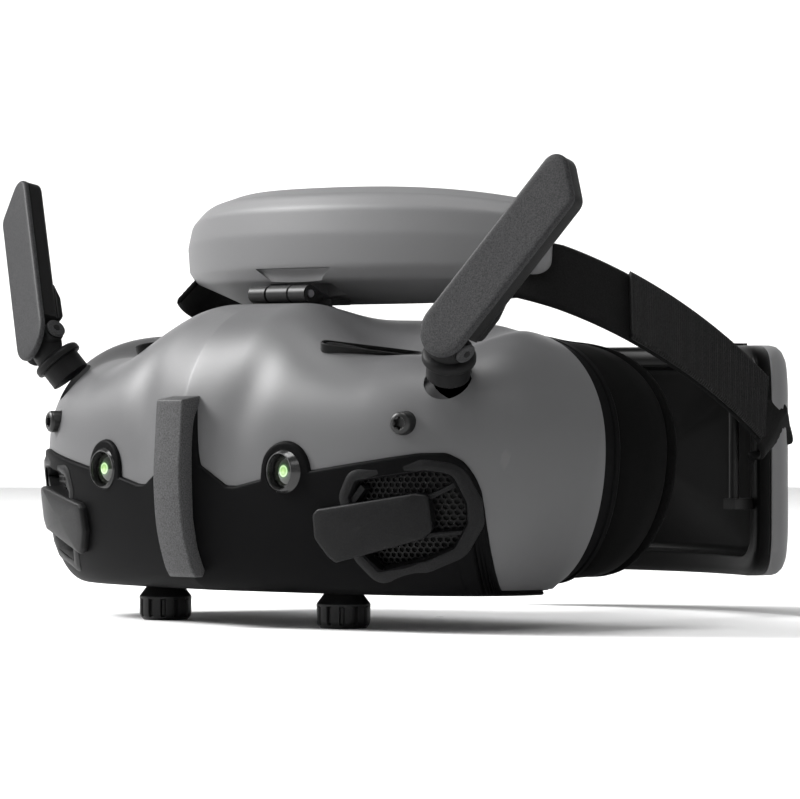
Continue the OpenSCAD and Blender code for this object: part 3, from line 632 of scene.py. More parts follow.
INTAKE = [(50.0, -16.5), (51.8, -12.8), (67.5, -10.4), (72.5, -11.2), (74.7, -17.5), (74.9, -22),
    (72.4, -27.8), (66.8, -30.5), (55.5, -33.2), (52.3, -29.5)]
INTAKE_R = [1.5, 1.6, 3, 3, 2.5, 2.5, 3, 3, 1.6, 2]


def front_place(u, v, w):
    return np.array([u, w, v])


def intake_tool(side):
    outline = rounded_outline(INTAKE, INTAKE_R)
    return prism("intake_tool", outline, -20, 34, front_place, side)


# ---- shapes laid on the front ----

COLUMN_S = np.linspace(0, 1, 2001)


def on_front(x, z, gap):
    """The point of the front at this x and height, gap millimetres over the skin."""
    s = np.sign(x) * np.interp(abs(x), front_x(COLUMN_S), COLUMN_S)
    return lifted(s, height_to_h(s, z), np.asarray(float(gap)))


def slab(name, outline, levels, place, side=1, smooth=True):
    """A solid over a closed outline. Each level is (w, shrink): shrink draws it to its middle."""
    outline = np.array(outline)
    middle = outline.mean(axis=0)
    reach = np.linalg.norm(outline - middle, axis=1, keepdims=True)
    rings = []
    for w, shrink in levels:
        ring = middle + (outline - middle) * np.clip(1 - shrink / reach, 0.001, None)
        rings.append([place(u, v, w) for u, v in ring])
    top = levels[-1]
    for share in (0.2, 0.45, 0.7, 0.9, 0.995):
        ring = middle + (outline - middle) * np.clip(1 - top[1] / reach, 0.001, None) * (1 - share)
        rings.append([place(u, v, top[0]) for u, v in ring])
    obj = tube_object(name, flipped_x(rings, side))
    return oriented(obj) if smooth else shade_by_angle(oriented(obj), 30)


def ring_slab(name, outline, levels, place, side=1):
    """A closed ring over an outline: each level is (w, outward), joined round in a loop."""
    outline = np.array(outline)
    ahead, behind = np.roll(outline, -1, axis=0), np.roll(outline, 1, axis=0)
    t = unit(ahead - behind)
    normal = np.stack([t[:, 1], -t[:, 0]], axis=1)
    if np.cross(outline, ahead).sum() < 0:
        normal = -normal
    rings = [[place(u, v, w) for u, v in outline + normal * out] for w, out in levels]
    return oriented(tube_object(name, flipped_x(rings, side), close=True))


def hex_lattice(name, inside, bounds, pitch, place, low, high, side=1, hole=0.72):
    """Hexagonal rings side by side wherever inside(u, v) says so."""
    verts, faces = [], []
    (u0, v0), (u1, v1) = bounds
    r = pitch / math.sqrt(3)
    row = 0
    v = v0
    while v <= v1:
        u = u0 + (pitch / 2 if row % 2 else 0)
        while u <= u1:
            if inside(u, v):
                start = len(verts)
                for w, share in ((low, 1), (high, 1), (high, hole), (low, hole)):
                    for k in range(6):
                        a = math.pi / 3 * k + math.pi / 6
                        verts.append(place(u + r * share * math.cos(a), v + r * share * math.sin(a),
                            w))
                faces += [[start + i for i in f]
                    for f in grid_faces(4, 6, wrap_u=True, wrap_v=True)]
            u += pitch
        v += pitch * math.sqrt(3) / 2
        row += 1
    return oriented(add_mesh(name, flipped_x(verts, side), faces, smooth=False))


def within(outline, u, v, margin=0.0):
    outline = np.array(outline)
    a, b = outline, np.roll(outline, -1, axis=0)
    crosses = ((a[:, 1] > v) != (b[:, 1] > v))
    at = a[:, 0] + (v - a[:, 1]) * (b[:, 0] - a[:, 0]) / np.where(b[:, 1] == a[:, 1], 1e-9,
        b[:, 1] - a[:, 1])
    if np.count_nonzero(crosses & (u < at)) % 2 == 0:
        return False
    ab = b - a
    t = np.clip(((np.array([u, v]) - a) * ab).sum(1) / (ab * ab).sum(1), 0, 1)
    return np.linalg.norm(a + ab * t[:, None] - np.array([u, v]), axis=1).min() >= margin


def joined(name, objs):
    """One mesh out of several."""
    verts, faces = [], []
    for obj in objs:
        start = len(verts)
        verts += [v.co[:] for v in obj.data.vertices]
        faces += [[start + i for i in p.vertices] for p in obj.data.polygons]
        bpy.data.objects.remove(obj)
    return add_mesh(name, verts, faces, at_datum=False)


def spline(points, count):
    """A smooth curve through points."""
    p = np.array(points, float)
    p = np.concatenate([[2 * p[0] - p[1]], p, [2 * p[-1] - p[-2]]])
    out = []
    for t in np.linspace(0, len(points) - 1.000001, count):
        i = int(t)
        f = t - i
        a, b, c, d = p[i:i + 4]
        out.append(0.5 * (2 * b + (c - a) * f + (2 * a - 5 * b + 4 * c - d) * f ** 2
            + (3 * b - a - 3 * c + d) * f ** 3))
    return np.array(out)


# ---- fin, cameras, screws ----

def build_fin():
    front = spline([(-7.3, 5.3), (-7.9, -4), (-8.3, -13), (-7.4, -24), (-5.1, -32.4),
        (-3.4, -35.6)], 40)
    back = [(-0.9, -35.6), (-0.2, -34.0), (-2.4, -29), (-3.8, -22), (-4.1, -12), (-3.6, 0),
        (-2.0, 4.4), (-1.6, 6.2)]
    outline = [tuple(q) for q in front] + back
    fin = prism("center_fin_visual", outline, -FIN_W / 2, FIN_W / 2, lambda u, v,
        w: np.array([w, u, v]))
    bevel(fin, 0.7, 4, 30)
    piece(shade_by_angle(apply_modifiers(fin), 40), "housing", "fin_grey", "center_fin")


def forward_axes():
    return frame_of((0, -1, 0), (1, 0, 0))


def build_cameras():
    ring = [(5.6, -3), (5.6, -0.6), (5.1, 0.2), (4.75, 0.9), (4.5, 1.4), (4.3, 1.62), (4.1, 1.6),
        (3.95, 1.3), (3.9, 0.6), (3.85, -0.2), (3.85, -3)]
    glass = [(3.87, -2.4), (3.87, -0.5), (3.6, -0.2), (3.0, 0.05), (2.2, 0.28), (1.4, 0.42),
        (0.6, 0.49), (0.001, 0.5)]
    lenses = []
    for side, name in ((1, "left"), (-1, "right")):
        origin = np.array([side * HALF_IPD, 0, -CAMERA_DROP])
        bezel_ring = oriented(lathe("camera_bezel_%s_visual" % name, ring + ring[:1], origin,
            forward_axes(), 96, cap=False))
        piece(shade_by_angle(bezel_ring, 50), "housing", "gloss_black", "camera_bezel_" + name)
        lenses.append(oriented(lathe("lens", glass, origin, forward_axes(), 64)))
    piece(joined("camera_lenses_visual", lenses), "housing", "camera_glass", "camera_lenses")


def build_screws():
    head = [(0.001, -2.0), (2.6, -2.0), (2.6, 0.7), (2.45, 1.2), (2.1, 1.5), (1.55, 1.6),
        (1.45, 1.45)]
    a = SCREW_TURN
    parts = []
    for side in (-1, 1):
        axes = frame_of((side * math.sin(a), -math.cos(a), 0), (0, 0, 1))
        origin = np.array([side * SCREW_X, SCREW_Y, 0.0])
        angles = full_turn(72)
        rings = turned(head, origin, axes, angles)
        for r, z in ((1.3, 1.4), (1.3, 0.3), (0.001, 0.3)):
            star = [r * (1 + 0.16 * math.cos(6 * t)) for t in angles]
            rings.append([origin + axes @ np.array([q * math.cos(t), q * math.sin(t), z]) for q,
                t in zip(star, angles)])
        parts.append(oriented(tube_object("screw", rings)))
    screws = shade_by_angle(joined("shell_screws_visual", parts), 40)
    piece(screws, "housing", "screw_black", "shell_screws")


# ---- intakes and vents ----

BAR = [(41.0, -20.4), (42.4, -19.1), (66.0, -15.4), (68.4, -15.9), (69.0, -23.4), (67.2, -25.4),
    (45.8, -30.9), (44.0, -29.6), (41.0, -25.6)]
BAR_R = [1.4, 1.4, 1.2, 1.2, 1.6, 1.6, 1.4, 2, 2]


def build_intakes():
    hole = rounded_outline(INTAKE, INTAKE_R)
    bar = rounded_outline(BAR, BAR_R)
    meshes = []
    for side, name in ((1, "left"), (-1, "right")):
        frame_rim = ring_slab("rim", hole, [(-2.4, -0.25), (0.4, -0.25), (1.05, 0.0), (1.3, 0.5),
            (1.3, 1.5), (1.0, 2.3), (0.5, 2.4), (-2.4, 1.2)], on_front, side)
        levels = [(-2.4, 0.3), (0.6, 0.2), (1.8, 0.1), (2.3, 0.25), (2.55, 0.6), (2.65, 1.1)]
        panel = slab("bar", bar, levels, on_front, side)
        ribs = []
        for (u0, v0), (u1, v1), width in (((64, -18.6), (73.6, -13.2), 1.1),
                ((66, -25.0), (75, -24.2), 1.1), ((47.5, -21), (53.5, -14.2), 1.4)):
            along = unit(np.array([u1 - u0, v1 - v0]))
            across = np.array([-along[1], along[0]]) * width / 2
            quad = [np.array([u0, v0]) + across, np.array([u0, v0]) - across,
                np.array([u1, v1]) - across, np.array([u1, v1]) + across]
            ribs.append(slab("rib", rounded_outline(quad, [0.2] * 4),
                [(-2.6, 0), (0.0, 0), (0.3, 0.15)], on_front, side))
        panel = shade_by_angle(joined("intake_panel_%s_visual" % name, [panel, frame_rim] + ribs),
            40)
        piece(panel, "housing", "panel_black", "intake_panel_" + name)
        meshes.append(hex_lattice("mesh", lambda u, v: within(hole, u, v, -0.1),
            ((49, -34), (76, -9)), 1.45, on_front, -2.9, -2.2, side))
        # A dark sheet behind the intake grille: painted shade standing for the dark inside of the
        # housing.
        meshes.append(slab("back", hole, [(-4.2, 0), (-3.6, 0)], on_front, side))
    mesh = joined("intake_meshes_visual", meshes)
    piece(shade_by_angle(mesh, 30), "housing", "mesh_black", "intake_meshes")


def build_top_vents():
    slot_outline = rounded_outline(VENT, [1.7] * 4)
    parts = []
    for side in (-1, 1):
        parts.append(hex_lattice("grille", lambda u, v: within(slot_outline, u, v, -0.2),
            ((-11.6, -2), (11.6, 2)), 1.25, vent_place, -1.5, -0.8, side, hole=0.68))
        # A dark sheet behind the vent grille: painted shade standing for the dark inside of the
        # housing.
        parts.append(slab("back", slot_outline, [(-2.9, 0), (-2.4, 0)], vent_place, side))
        parts.append(ring_slab("lip", slot_outline, [(-2.4, 0.15), (-0.2, 0.1), (0.05, 0.2),
            (0.1, 0.5), (-0.1, 0.7), (-2.4, 0.5)], vent_place, side))
    piece(shade_by_angle(joined("top_vent_grilles_visual", parts), 40), "housing", "mesh_black",
        "top_vent_grilles")


# ---- rear rings and face foam ----

def rim_points(count):
    """The housing's rear outline, evenly spaced, as (x, z)."""
    rise = skin(1.0, np.linspace(-1, 0.6, 200))[:, [0, 2]]
    roof = skin(np.linspace(1, 0, 120), 1.0)[1:, [0, 2]]
    right = np.concatenate([[[0, -BELLY], [HALF_W * 0.37, -BELLY]], rise, roof])
    left = right[-2:0:-1] * [-1, 1]
    pts = even_loop(np.concatenate([right, left]), count)
    for _ in range(6):
        pts = (np.roll(pts, 1, axis=0) + 2 * pts + np.roll(pts, -1, axis=0)) / 4
    return pts


SHIELD_START = 55.05


def shield_end(x):
    return 58.5 + 14 * (np.abs(x) / HALF_W) ** 2


def rim_tube(name, profile, depth):
    """A closed profile of (inset, share) swept round the rim; depth(x, share) gives Y."""
    pts = rim_points(280)
    t = unit(np.roll(pts, -1, axis=0) - np.roll(pts, 1, axis=0))
    inward = np.stack([-t[:, 1], t[:, 0]], axis=1)
    rings = []
    for inset, share in profile:
        at = pts + inward * inset
        rings.append(np.stack([at[:, 0], depth(at[:, 0], share), at[:, 1]], axis=1))
    return oriented(tube_object(name, rings, close=True))


def build_rear():
    ring = [(4, 49.3), (1.5, 49.3), (1.0, 49.7), (1.0, 52.4), (1.35, 52.7), (1.35, 53.2),
        (1.0, 53.5), (1.0, 54.6), (1.3, 54.95), (4, 55)]
    obj = rim_tube("frame_ring_visual", ring, lambda x, y: np.full(x.shape, float(y)))
    piece(shade_by_angle(obj, 35), "housing", "cover_black", "frame_ring")
    shield = [(5, 0), (3.0, 0), (2.6, 0.03), (2.3, 0.3), (2.2, 0.6), (2.4, 0.93), (2.8, 0.99),
        (3.4, 1.0), (5, 1.0)]
    obj = rim_tube("light_shield_visual", shield, lambda x,
        f: SHIELD_START + f * (shield_end(x) - SHIELD_START))
    piece(shade_by_angle(obj, 45), "housing", "soft_rubber", "light_shield")
    foam = [(9.2, 0), (3.2, 0), (2.6, 0.5), (2.3, 1.4), (2.5, 2.6), (3.2, 3.4), (4.4, 3.9),
        (6.2, 4.1), (8.2, 3.9), (9.6, 3.2), (10.2, 2.0), (9.9, 0.8)]
    obj = rim_tube("face_foam_visual", foam, lambda x, e: shield_end(x) + e)
    piece(obj, "housing", "foam_fabric", "face_foam")


# ---- focus knobs ----

def build_knobs():
    profile = [(0.001, -25), (2, -25), (2, -35.3), (3.2, -35.4), (3.2, -38.7), (3.5, -38.8),
        (4.4, -38.95), (6.0, -41.1), (6.2, -41.4), (6.2, -41.8), (6.15, -42.2), (6.15, -45.2),
        (6.1, -45.6), (5.9, -46.1), (5.6, -46.5), (5.2, -46.95), (4.6, -47), (4.4, -46.7),
        (2, -46.7), (0.001, -46.7)]
    angles = full_turn(240)
    heights = [(r, z) for (r0, z0), (r1, z1) in zip(profile, profile[1:]) for r,
        z in [(r0 + (r1 - r0) * k / 6, z0 + (z1 - z0) * k / 6) for k in range(6)]] + [profile[-1]]
    rings = []
    for r, z in heights:
        band = float(ease(-46.3, -45.8, z) * (1 - ease(-42.2, -41.8, z))) if r > 5 else 0.0
        phase = (angles * 12 / (2 * math.pi)) % 1
        groove = 1 - ease(0.1, 0.2, np.abs(phase - 0.5))
        rings.append([(HALF_IPD + q * math.cos(a), KNOB_Y + q * math.sin(a), z) for q,
            a in zip(r - 0.75 * band * groove, angles)])
    left = oriented(tube_object("focus_knob_left_visual", rings))
    right = mirrored(left, "focus_knob_right_visual")
    piece(shade_by_angle(left, 35), "focus_knob_left", "knob_black", "focus_knob_left")
    piece(shade_by_angle(right, 35), "focus_knob_right", "knob_black", "focus_knob_right")


# ---- antennas ----

def hull(points):
    points = sorted(map(tuple, points))
    def half(pts):
        out = []
        for q in pts:
            while len(out) > 1 and ((out[-1][0] - out[-2][0]) * (q[1] - out[-2][1])
                    - (out[-1][1] - out[-2][1]) * (q[0] - out[-2][0])) <= 1e-9:
                out.pop()
            out.append(q)
        return out[:-1]
    return half(points) + half(points[::-1])


def blade_outline(shrink=0.0):
    r = BLADE_W / 2
    circles = [(0, 1.5, r), (-r + 3.5, BLADE_L - 3.5, 3.5), (r - 3, BLADE_L - 7, 3)]
    pts = [(x + (q - shrink) * math.cos(a), z + (q - shrink) * math.sin(a)) for x, z,
        q in circles for a in full_turn(48)]
    return even_loop(hull(pts), 160)


def even_loop(points, count):
    """A closed loop through points, evenly spaced."""
    loop = np.array(list(points) + [points[0]], float)
    length = running_length(loop)
    at = np.linspace(0, length[-1], count, endpoint=False)
    return np.stack([np.interp(at, length, loop[:, 0]), np.interp(at, length, loop[:, 1])], axis=1)


def blade_slab(name, levels, low_end=-99.0):
    """A slab of the blade's outline between depths y; the part under low_end is left off."""
    rings = []
    for y, shrink in levels:
        ring = blade_outline(shrink)
        ring[:, 1] = np.maximum(ring[:, 1], low_end)
        rings.append([blade_place(u, y, v) for u, v in ring])
    first, last = np.array(rings[0]), np.array(rings[-1])
    inner = [first.mean(axis=0) + (first - first.mean(axis=0)) * k for k in (0.02, 0.5, 0.85)]
    outer = [last.mean(axis=0) + (last - last.mean(axis=0)) * k for k in (0.85, 0.5, 0.02)]
    return oriented(tube_object(name, inner + rings + outer))


def pin_bar(name, radius, x0, x1, chamfer=0.3):
    origin = COLLAR_POS + PIN_RISE * unit(COLLAR_AXIS)
    side = np.array(blade_place(1, 0, 0)) - np.array(blade_place(0, 0, 0))
    axes = frame_of(side, BLADE_DIR)
    profile = [(0.001, x0), (radius - chamfer, x0), (radius, x0 + chamfer), (radius, x1 - chamfer),
        (radius - chamfer, x1), (0.001, x1)]
    return oriented(lathe(name, profile, origin, axes, 64))


def build_antennas():
    front = blade_slab("antenna_blade_left_visual", [(-3.12, 0.15), (-3.2, 0.0), (-3.85, 0.0),
        (-4.15, 0.15), (-4.33, 0.4), (-4.4, 0.8)])
    ears = [pin_bar("ear", 2.4, x, x + 1) for x in (-6.4, 5.4)]
    back = blade_slab("antenna_cap_left_visual", [(-3.0, 0.35), (-2.92, 0.12), (0.0, 0.12),
        (0.45, 0.3), (0.8, 0.7), (1.0, 1.3)], low_end=3.4)
    wedge = prism("wedge", [(0.9, 3.4), (2.2, 3.9), (2.6, 4.9), (2.5, 10.5), (0.9, 15)],
        -BLADE_W / 2 + 0.5, BLADE_W / 2 - 0.5, lambda u, v, w: blade_place(w, u, v))
    bevel(wedge, 0.5, 3)
    apply_modifiers(wedge)
    blade = joined("antenna_blade_left_visual", [front] + ears)
    cap = joined("antenna_cap_left_visual", [back, wedge])
    axes = frame_of(COLLAR_AXIS, (1, 0, 0))
    base = [(0.001, -4), (5, -4), (5, 0.2), (5.9, 0.3), (6.1, 0.55), (6.1, 1.5), (5.95, 1.9),
        (5.6, 2.25), (4.9, 2.6), (3.0, 2.75), (0.001, 2.8)]
    collar = oriented(lathe("base", base, COLLAR_POS, axes, 96))
    neck = oriented(lathe("neck", [(0.001, 1.0), (4.7, 1.0), (4.7, 3.2), (4.5, 5.0), (4.0, 6.2),
        (0.001, 6.3)], COLLAR_POS, axes, 96))
    cut(neck, prism("neck_block", [(-2.2, -9), (2.2, -9), (2.2, 0.3), (-2.2, 0.3)], -5.1, 5.1,
        lambda u, v, w: blade_place(w, u, v)), "INTERSECT")
    knuckle = pin_bar("knuckle", 2.6, -5.1, 5.1)
    pin = pin_bar("pin", 0.9, -6.55, 6.55, 0.15)
    collar = joined("antenna_collar_left_visual", [collar, neck, knuckle, pin])
    for obj, body, slot_name in ((blade, "antenna_blade_", "blade_grey"),
            (cap, "antenna_blade_", "blade_black"), (collar, "antenna_collar_", "blade_black")):
        node_name = obj.name.replace("_left_visual", "_").split(".")[0]
        other = mirrored(obj, node_name + "right_visual")
        piece(shade_by_angle(obj, 38), body + "left", slot_name, node_name + "left")
        piece(shade_by_angle(other, 38), body + "right", slot_name, node_name + "right")


# ---- headband ----

PAD_R = 94.0
PAD_Y = 122.6
PAD_HALF_W = 62
PAD_ANGLE = math.asin(PAD_HALF_W / PAD_R)
PAD_STRETCH = 1.045
GLUED_DEPTH = 16.2
GROOVE_Z, GROOVE_DEPTH = 41, 0.7


def pad_sweep(name, section, steps=150, round_off=5.0, droop=5.0, lift=2.2):
    """A (depth, height) section swept round the forehead. It lowers and closes at both ends."""
    section = even_loop(section, 120)
    low, high = section[:, 1].min(), section[:, 1].max()
    middle = np.array([section[:, 0].mean(), (low + high) / 2])
    rings = []
    end = 1 - 0.06 * (1 - np.cos(np.linspace(0, math.pi / 2, 12)))
    for f in np.concatenate([-end[:-1], np.linspace(-0.94, 0.94, steps), end[::-1][1:]]):
        a = f * PAD_ANGLE
        edge = (1 - abs(f)) * PAD_ANGLE * PAD_R
        close = math.sqrt(max(0.0, 1
            - max(0.0, 1 - edge / round_off) ** 2)) if edge < round_off else 1.0
        ring = section.copy()
        share = (ring[:, 1] - low) / (high - low)
        ring[:, 1] += -droop * abs(f) ** 3 * share + lift * abs(f) ** 4 * (1 - share)
        at = middle + np.array([0, (-droop * abs(f) ** 3 + lift * abs(f) ** 4) / 2])
        size = ring.max(axis=0) - ring.min(axis=0)
        shrink = 1 - (1 - close) * np.minimum(1.0, 2 * round_off / size)
        ring = at + (ring - at) * np.maximum(shrink, 0.02)
        depth = ring[:, 0]
        rings.append(np.stack([PAD_STRETCH * (PAD_R - depth) * math.sin(a),
            PAD_Y - (PAD_R - depth) * math.cos(a), ring[:, 1]], axis=1))
    return oriented(tube_object(name, rings))


def build_pad():
    section = rounded_outline([(0.5, 36.5), (2.2, 33.2), (12.6, 27.6), (14.6, 27.6), (14.6, 54.4),
        (9, 55.3), (3.6, 53.4), (1.1, 50.2), (0.1, 44)], [3, 2, 1, 0.4, 1, 4, 3, 3, 6])
    shell = pad_sweep("pad_shell_visual", section)
    recess = prism("recess", [(-9.5, 24), (9.5, 24), (9.5, 33.6), (13.5, 36.2), (-13.5, 36.2),
        (-9.5, 33.6)], 20, 31.4, front_place)
    bevel(recess, 0.5, 3)
    apply_modifiers(recess)
    cut(shell, recess)
    for x0, x1 in ((-10.8, -4.1), (4.1, 10.8)):
        cut(shell, prism("knuckle_slot", [(x0, 24), (x1, 24), (x1, 32.6), (x0, 32.6)], 20, 37.6,
            front_place))
    cut(shell, prism("bracket_slot", [(-15, 24), (15, 24), (15, 29.3), (-15, 29.3)], 29, 37,
        front_place))
    piece(shade_by_angle(shell, 40), "headband", "pad_grey", "pad_shell")
    knuckle = oriented(lathe("hinge_knuckle_visual", [(0.95, -3.9), (1.7, -3.9), (2.0, -3.6),
        (2.0, 3.6), (1.7, 3.9), (0.95, 3.9), (0.95, -3.9)], HINGE_POS,
        frame_of((1, 0, 0), (0, 1, 0)), 64, cap=False))
    piece(shade_by_angle(knuckle, 40), "headband", "hinge_black", "pad_shell")
    cushion = rounded_outline([(14.9, 28.6), (19.2, 29.4), (21.2, 34), (21.4, 41), (21.0, 48),
        (19.2, 52), (14.9, 53.6)], [1, 2.5, 3, 6, 3, 2.5, 1])
    soft = inflated(pad_sweep("pad_cushion_visual", cushion, round_off=6.0))
    groove_rows(soft)
    piece(soft, "headband", "foam_fabric", "pad_cushion")


def inflated(obj, voxel=2.6, pressure=3.0, cap=1.6):
    """Cloth with a little pressure rounds the pad out; the side glued to its shell stays."""
    mod = obj.modifiers.new("remesh", "REMESH")
    mod.mode = "VOXEL"
    mod.voxel_size = voxel / 1000
    apply_modifiers(obj)
    start = np.array([v.co for v in obj.data.vertices])
    pinned = obj.vertex_groups.new(name="pinned")
    centre = np.array([0.0, PAD_Y]) + DATUM[:2]
    radius = np.hypot(start[:, 0] * 1000 - centre[0], start[:, 1] * 1000 - centre[1])
    pinned.add([int(i) for i in np.nonzero(radius > PAD_R - GLUED_DEPTH)[0]], 1.0, "REPLACE")
    cloth = obj.modifiers.new("cloth", "CLOTH")
    cloth.settings.use_pressure = True
    cloth.settings.uniform_pressure_force = pressure
    cloth.settings.effector_weights.gravity = 0
    cloth.settings.vertex_group_mass = "pinned"
    cloth.settings.tension_stiffness = cloth.settings.compression_stiffness = 25
    for f in range(1, 13):
        bpy.context.scene.frame_set(f)
    graph = bpy.context.evaluated_depsgraph_get()
    mesh = obj.evaluated_get(graph).to_mesh()
    moved = np.array([v.co for v in mesh.vertices])
    obj.modifiers.remove(cloth)
    bpy.context.scene.frame_set(1)
    step = moved - start
    length = np.linalg.norm(step, axis=1, keepdims=True)
    step *= np.minimum(1, cap / 1000 / np.maximum(length, 1e-9))
    if np.isfinite(step).all():
        for v, co in zip(obj.data.vertices, start + step):
            v.co = co
    sub = obj.modifiers.new("subdivision", "SUBSURF")
    sub.levels = sub.render_levels = 1
    return smoothed(apply_modifiers(obj))


def groove_rows(obj):
    """A sewn line along the middle of the cushion's face."""
    for v in obj.data.vertices:
        x, y, z = (c * 1000 - d for c, d in zip(v.co, DATUM))
        r = math.hypot(x, y - PAD_Y)
        if r < PAD_R - 17:
            d = GROOVE_DEPTH * math.exp(-((z - GROOVE_Z + 2 * (x / PAD_HALF_W) ** 2) / 0.9) ** 2)
            v.co[0] += d * x / r / 1000
            v.co[1] += d * (y - PAD_Y) / r / 1000


# ---- straps ----

STRAP_W = 18
LOOP_W = STRAP_W - 0.6
STRAP_PATH = ((62, 66, 61.8, 55.3), (57, 77, 106, 130.2), (33.2, 27.4, 16.2, 2.6))  # x, y, z
STRAP_TILT = (24, 20, 20)


def strap_mid(t):
    return np.stack([bez(*points, t) for points in STRAP_PATH], axis=-1)


def strap_tilt(t):
    a, b, c = STRAP_TILT
    return a * (1 - t) ** 2 + 2 * b * t * (1 - t) + c * t * t


def strap_frames(path, tilt):
    """Across and outward directions along a path of points, for a tilt in degrees at each."""
    along = unit(np.gradient(path, axis=0))
    a = np.radians(tilt)
    side = unit(np.cross(np.stack([np.cos(a), 0 * a, np.sin(a)], axis=-1), along))
    return side, unit(np.cross(along, side))


def band(name, path, tilt, width, inner, outer, across=25, ribs=None):
    """A strap with rounded edges between two offsets; ribs is (pitch, height) along it."""
    side, face = strap_frames(path, tilt)
    length = running_length(path)
    wave = 0 * length if ribs is None else ribs[1] * (0.5 + 0.5
        * np.cos(2 * math.pi * length / ribs[0]))
    f = np.linspace(-1, 1, across)
    round_edge = np.sqrt(np.maximum(0, 1 - np.maximum(0, (np.abs(f) - 0.94) / 0.06) ** 2))
    middle, half = (inner + outer) / 2, (outer - inner) / 2
    weave = 0.04 * np.cos(np.arange(across) * math.pi)
    top, low = [], []
    for i in range(len(path)):
        lift = wave[i] * round_edge + weave * round_edge
        base = path[i] - np.outer(f * width / 2, side[i])
        top.append(base + np.outer(middle + half * np.maximum(round_edge, 0.15) - wave.max() + lift,
            face[i]))
        low.append(base + np.outer(middle - half * np.maximum(round_edge, 0.15), face[i]))
    return oriented(skin_object(name, np.array(top), np.array(low)))


def build_straps():
    t = np.linspace(-0.13, 0.97, 190)
    path, tilt = strap_mid(t), strap_tilt(t)
    path[:, 0] -= 60 * np.maximum(0, 0.02 - t) ** 1.5 * 1.2
    t2 = np.linspace(0.3, 0.985, 330)
    outer_path, outer_tilt = strap_mid(t2), strap_tilt(t2)
    loop_path = spline([strap_mid(0.88), strap_mid(0.96), (56.0, 131.5, 0.6), (56.0, 133.6, -2.2),
        (54.9, 134.9, -4.6), (53.0, 135.2, -6.4)], 90)
    loop_tilt = np.linspace(strap_tilt(0.88), 26, 90)
    for side, name in ((1, "left"), (-1, "right")):
        strap = band("strap_%s_visual" % name, path, tilt, STRAP_W, 0.0, 1.2)
        fold = band("strap_fold_%s_visual" % name, outer_path, outer_tilt, STRAP_W, 1.35, 2.75,
            ribs=(0.85, 0.45))
        loop = band("strap_loop_%s_visual" % name, loop_path, loop_tilt, LOOP_W, 0.2, 1.3)
        strap, fold, loop = (on_side(obj, side) for obj in (strap, fold, loop))
        paint(strap, "strap_weave")
        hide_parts("strap_" + name)
        tuple(to_row(flipped_x(strap_mid(0.05), side)))
        tuple(to_row(flipped_x(strap_mid(0.95), side)))
        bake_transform(strap)
        piece(fold, "battery_pack", "strap_ribbed", "strap_fold_" + name)
        piece(loop, "battery_pack", "strap_weave")


# ---- battery pack ----

PACK_Z = -9.5
PACK_HALF_W, PACK_HALF_H, PACK_CORNER = 56, 28, 13
PACK_INNER, PACK_OUTER = (50.4, 96), (83, 80)  # centre y and radius of each face


def pack_place(u, v, w):
    inner, outer = (y + math.sqrt(r ** 2 - u * u) for y, r in (PACK_INNER, PACK_OUTER))
    return np.array([u, inner + (outer - inner) * w, PACK_Z + v])


def pack_slab(name, levels):
    """A rounded plan of the pack at depths w, shrunk in millimetres and scaled to its middle."""
    rings = []
    for w, shrink, scale in levels:
        half_w, half_h = PACK_HALF_W - shrink, PACK_HALF_H - shrink
        r = max(PACK_CORNER - shrink, 1.0)
        loop = even_loop(rounded_outline([(-half_w, -half_h), (half_w, -half_h), (half_w, half_h),
            (-half_w, half_h)], [r] * 4, 12), 240)
        rings.append([pack_place(u * scale, v * scale, w) for u, v in loop])
    return oriented(tube_object(name, rings))


def box_tool(low, high):
    low, high = np.array(low, float), np.array(high, float)
    corners = [(low[0], low[1]), (high[0], low[1]), (high[0], high[1]), (low[0], high[1])]
    return prism("box_tool", corners, low[2], high[2], lambda u, v, w: np.array([u, v, w]))


def build_battery():
    shell = pack_slab("battery_shell_visual", [(0.46, 3.0, 0.01), (0.46, 3.0, 0.5), (0.46, 3.0, 1),
        (0.46, 0.5, 1), (0.465, 0.15, 1), (0.49, 0, 1), (0.7, 0.0, 1), (0.8, 0.25, 1),
        (0.89, 1.0, 1), (0.955, 2.2, 1), (0.99, 4.0, 1), (1.0, 6.5, 1), (1.0, 6.5, 0.75),
        (1.0, 6.5, 0.5), (1.0, 6.5, 0.25), (1.0, 6.5, 0.01)])
    cover = pack_slab("battery_inner_cover_visual", [(0.1, 7.4, 0.01), (0.1, 7.4, 0.6),
        (0.1, 7.4, 1), (0.09, 6.2, 1), (0.06, 5.7, 1), (0.02, 5.4, 1), (-0.005, 5.1, 1),
        (-0.01, 4.7, 1), (-0.005, 4.4, 1), (0.005, 3.2, 1), (0.02, 1.6, 1), (0.06, 0.7, 1),
        (0.12, 0.2, 1), (0.2, 0.05, 1), (0.42, 0.0, 1), (0.44, 0.15, 1), (0.45, 0.5, 1),
        (0.45, 1.5, 1), (0.45, 1.5, 0.5), (0.45, 1.5, 0.01)])
    for obj in (shell, cover):
        cut(obj, rod_tool("power_hole", (30, 148, 14), (0, 0, 1), 3.2, 10))
        cut(obj, box_tool((-36.2, 144.5, -40), (-26.8, 148.1, -33)))
    piece(shade_by_angle(shell, 40), "battery_pack", "pad_grey", "battery_shell")
    piece(shade_by_angle(cover, 40), "battery_pack", "inner_black", "battery_inner_cover")


def paint_cad():
    slots = {row["node"]: row["material_slot"] for row in frame["record"]["subparts"]}
    for name, obj in frame["nodes"].items():
        paint(obj, slots[name])
        bevel(smoothed(obj), 0.18, 2, 40)
        obj.modifiers["bevel"].harden_normals = True


# ---- stage, light and camera ----

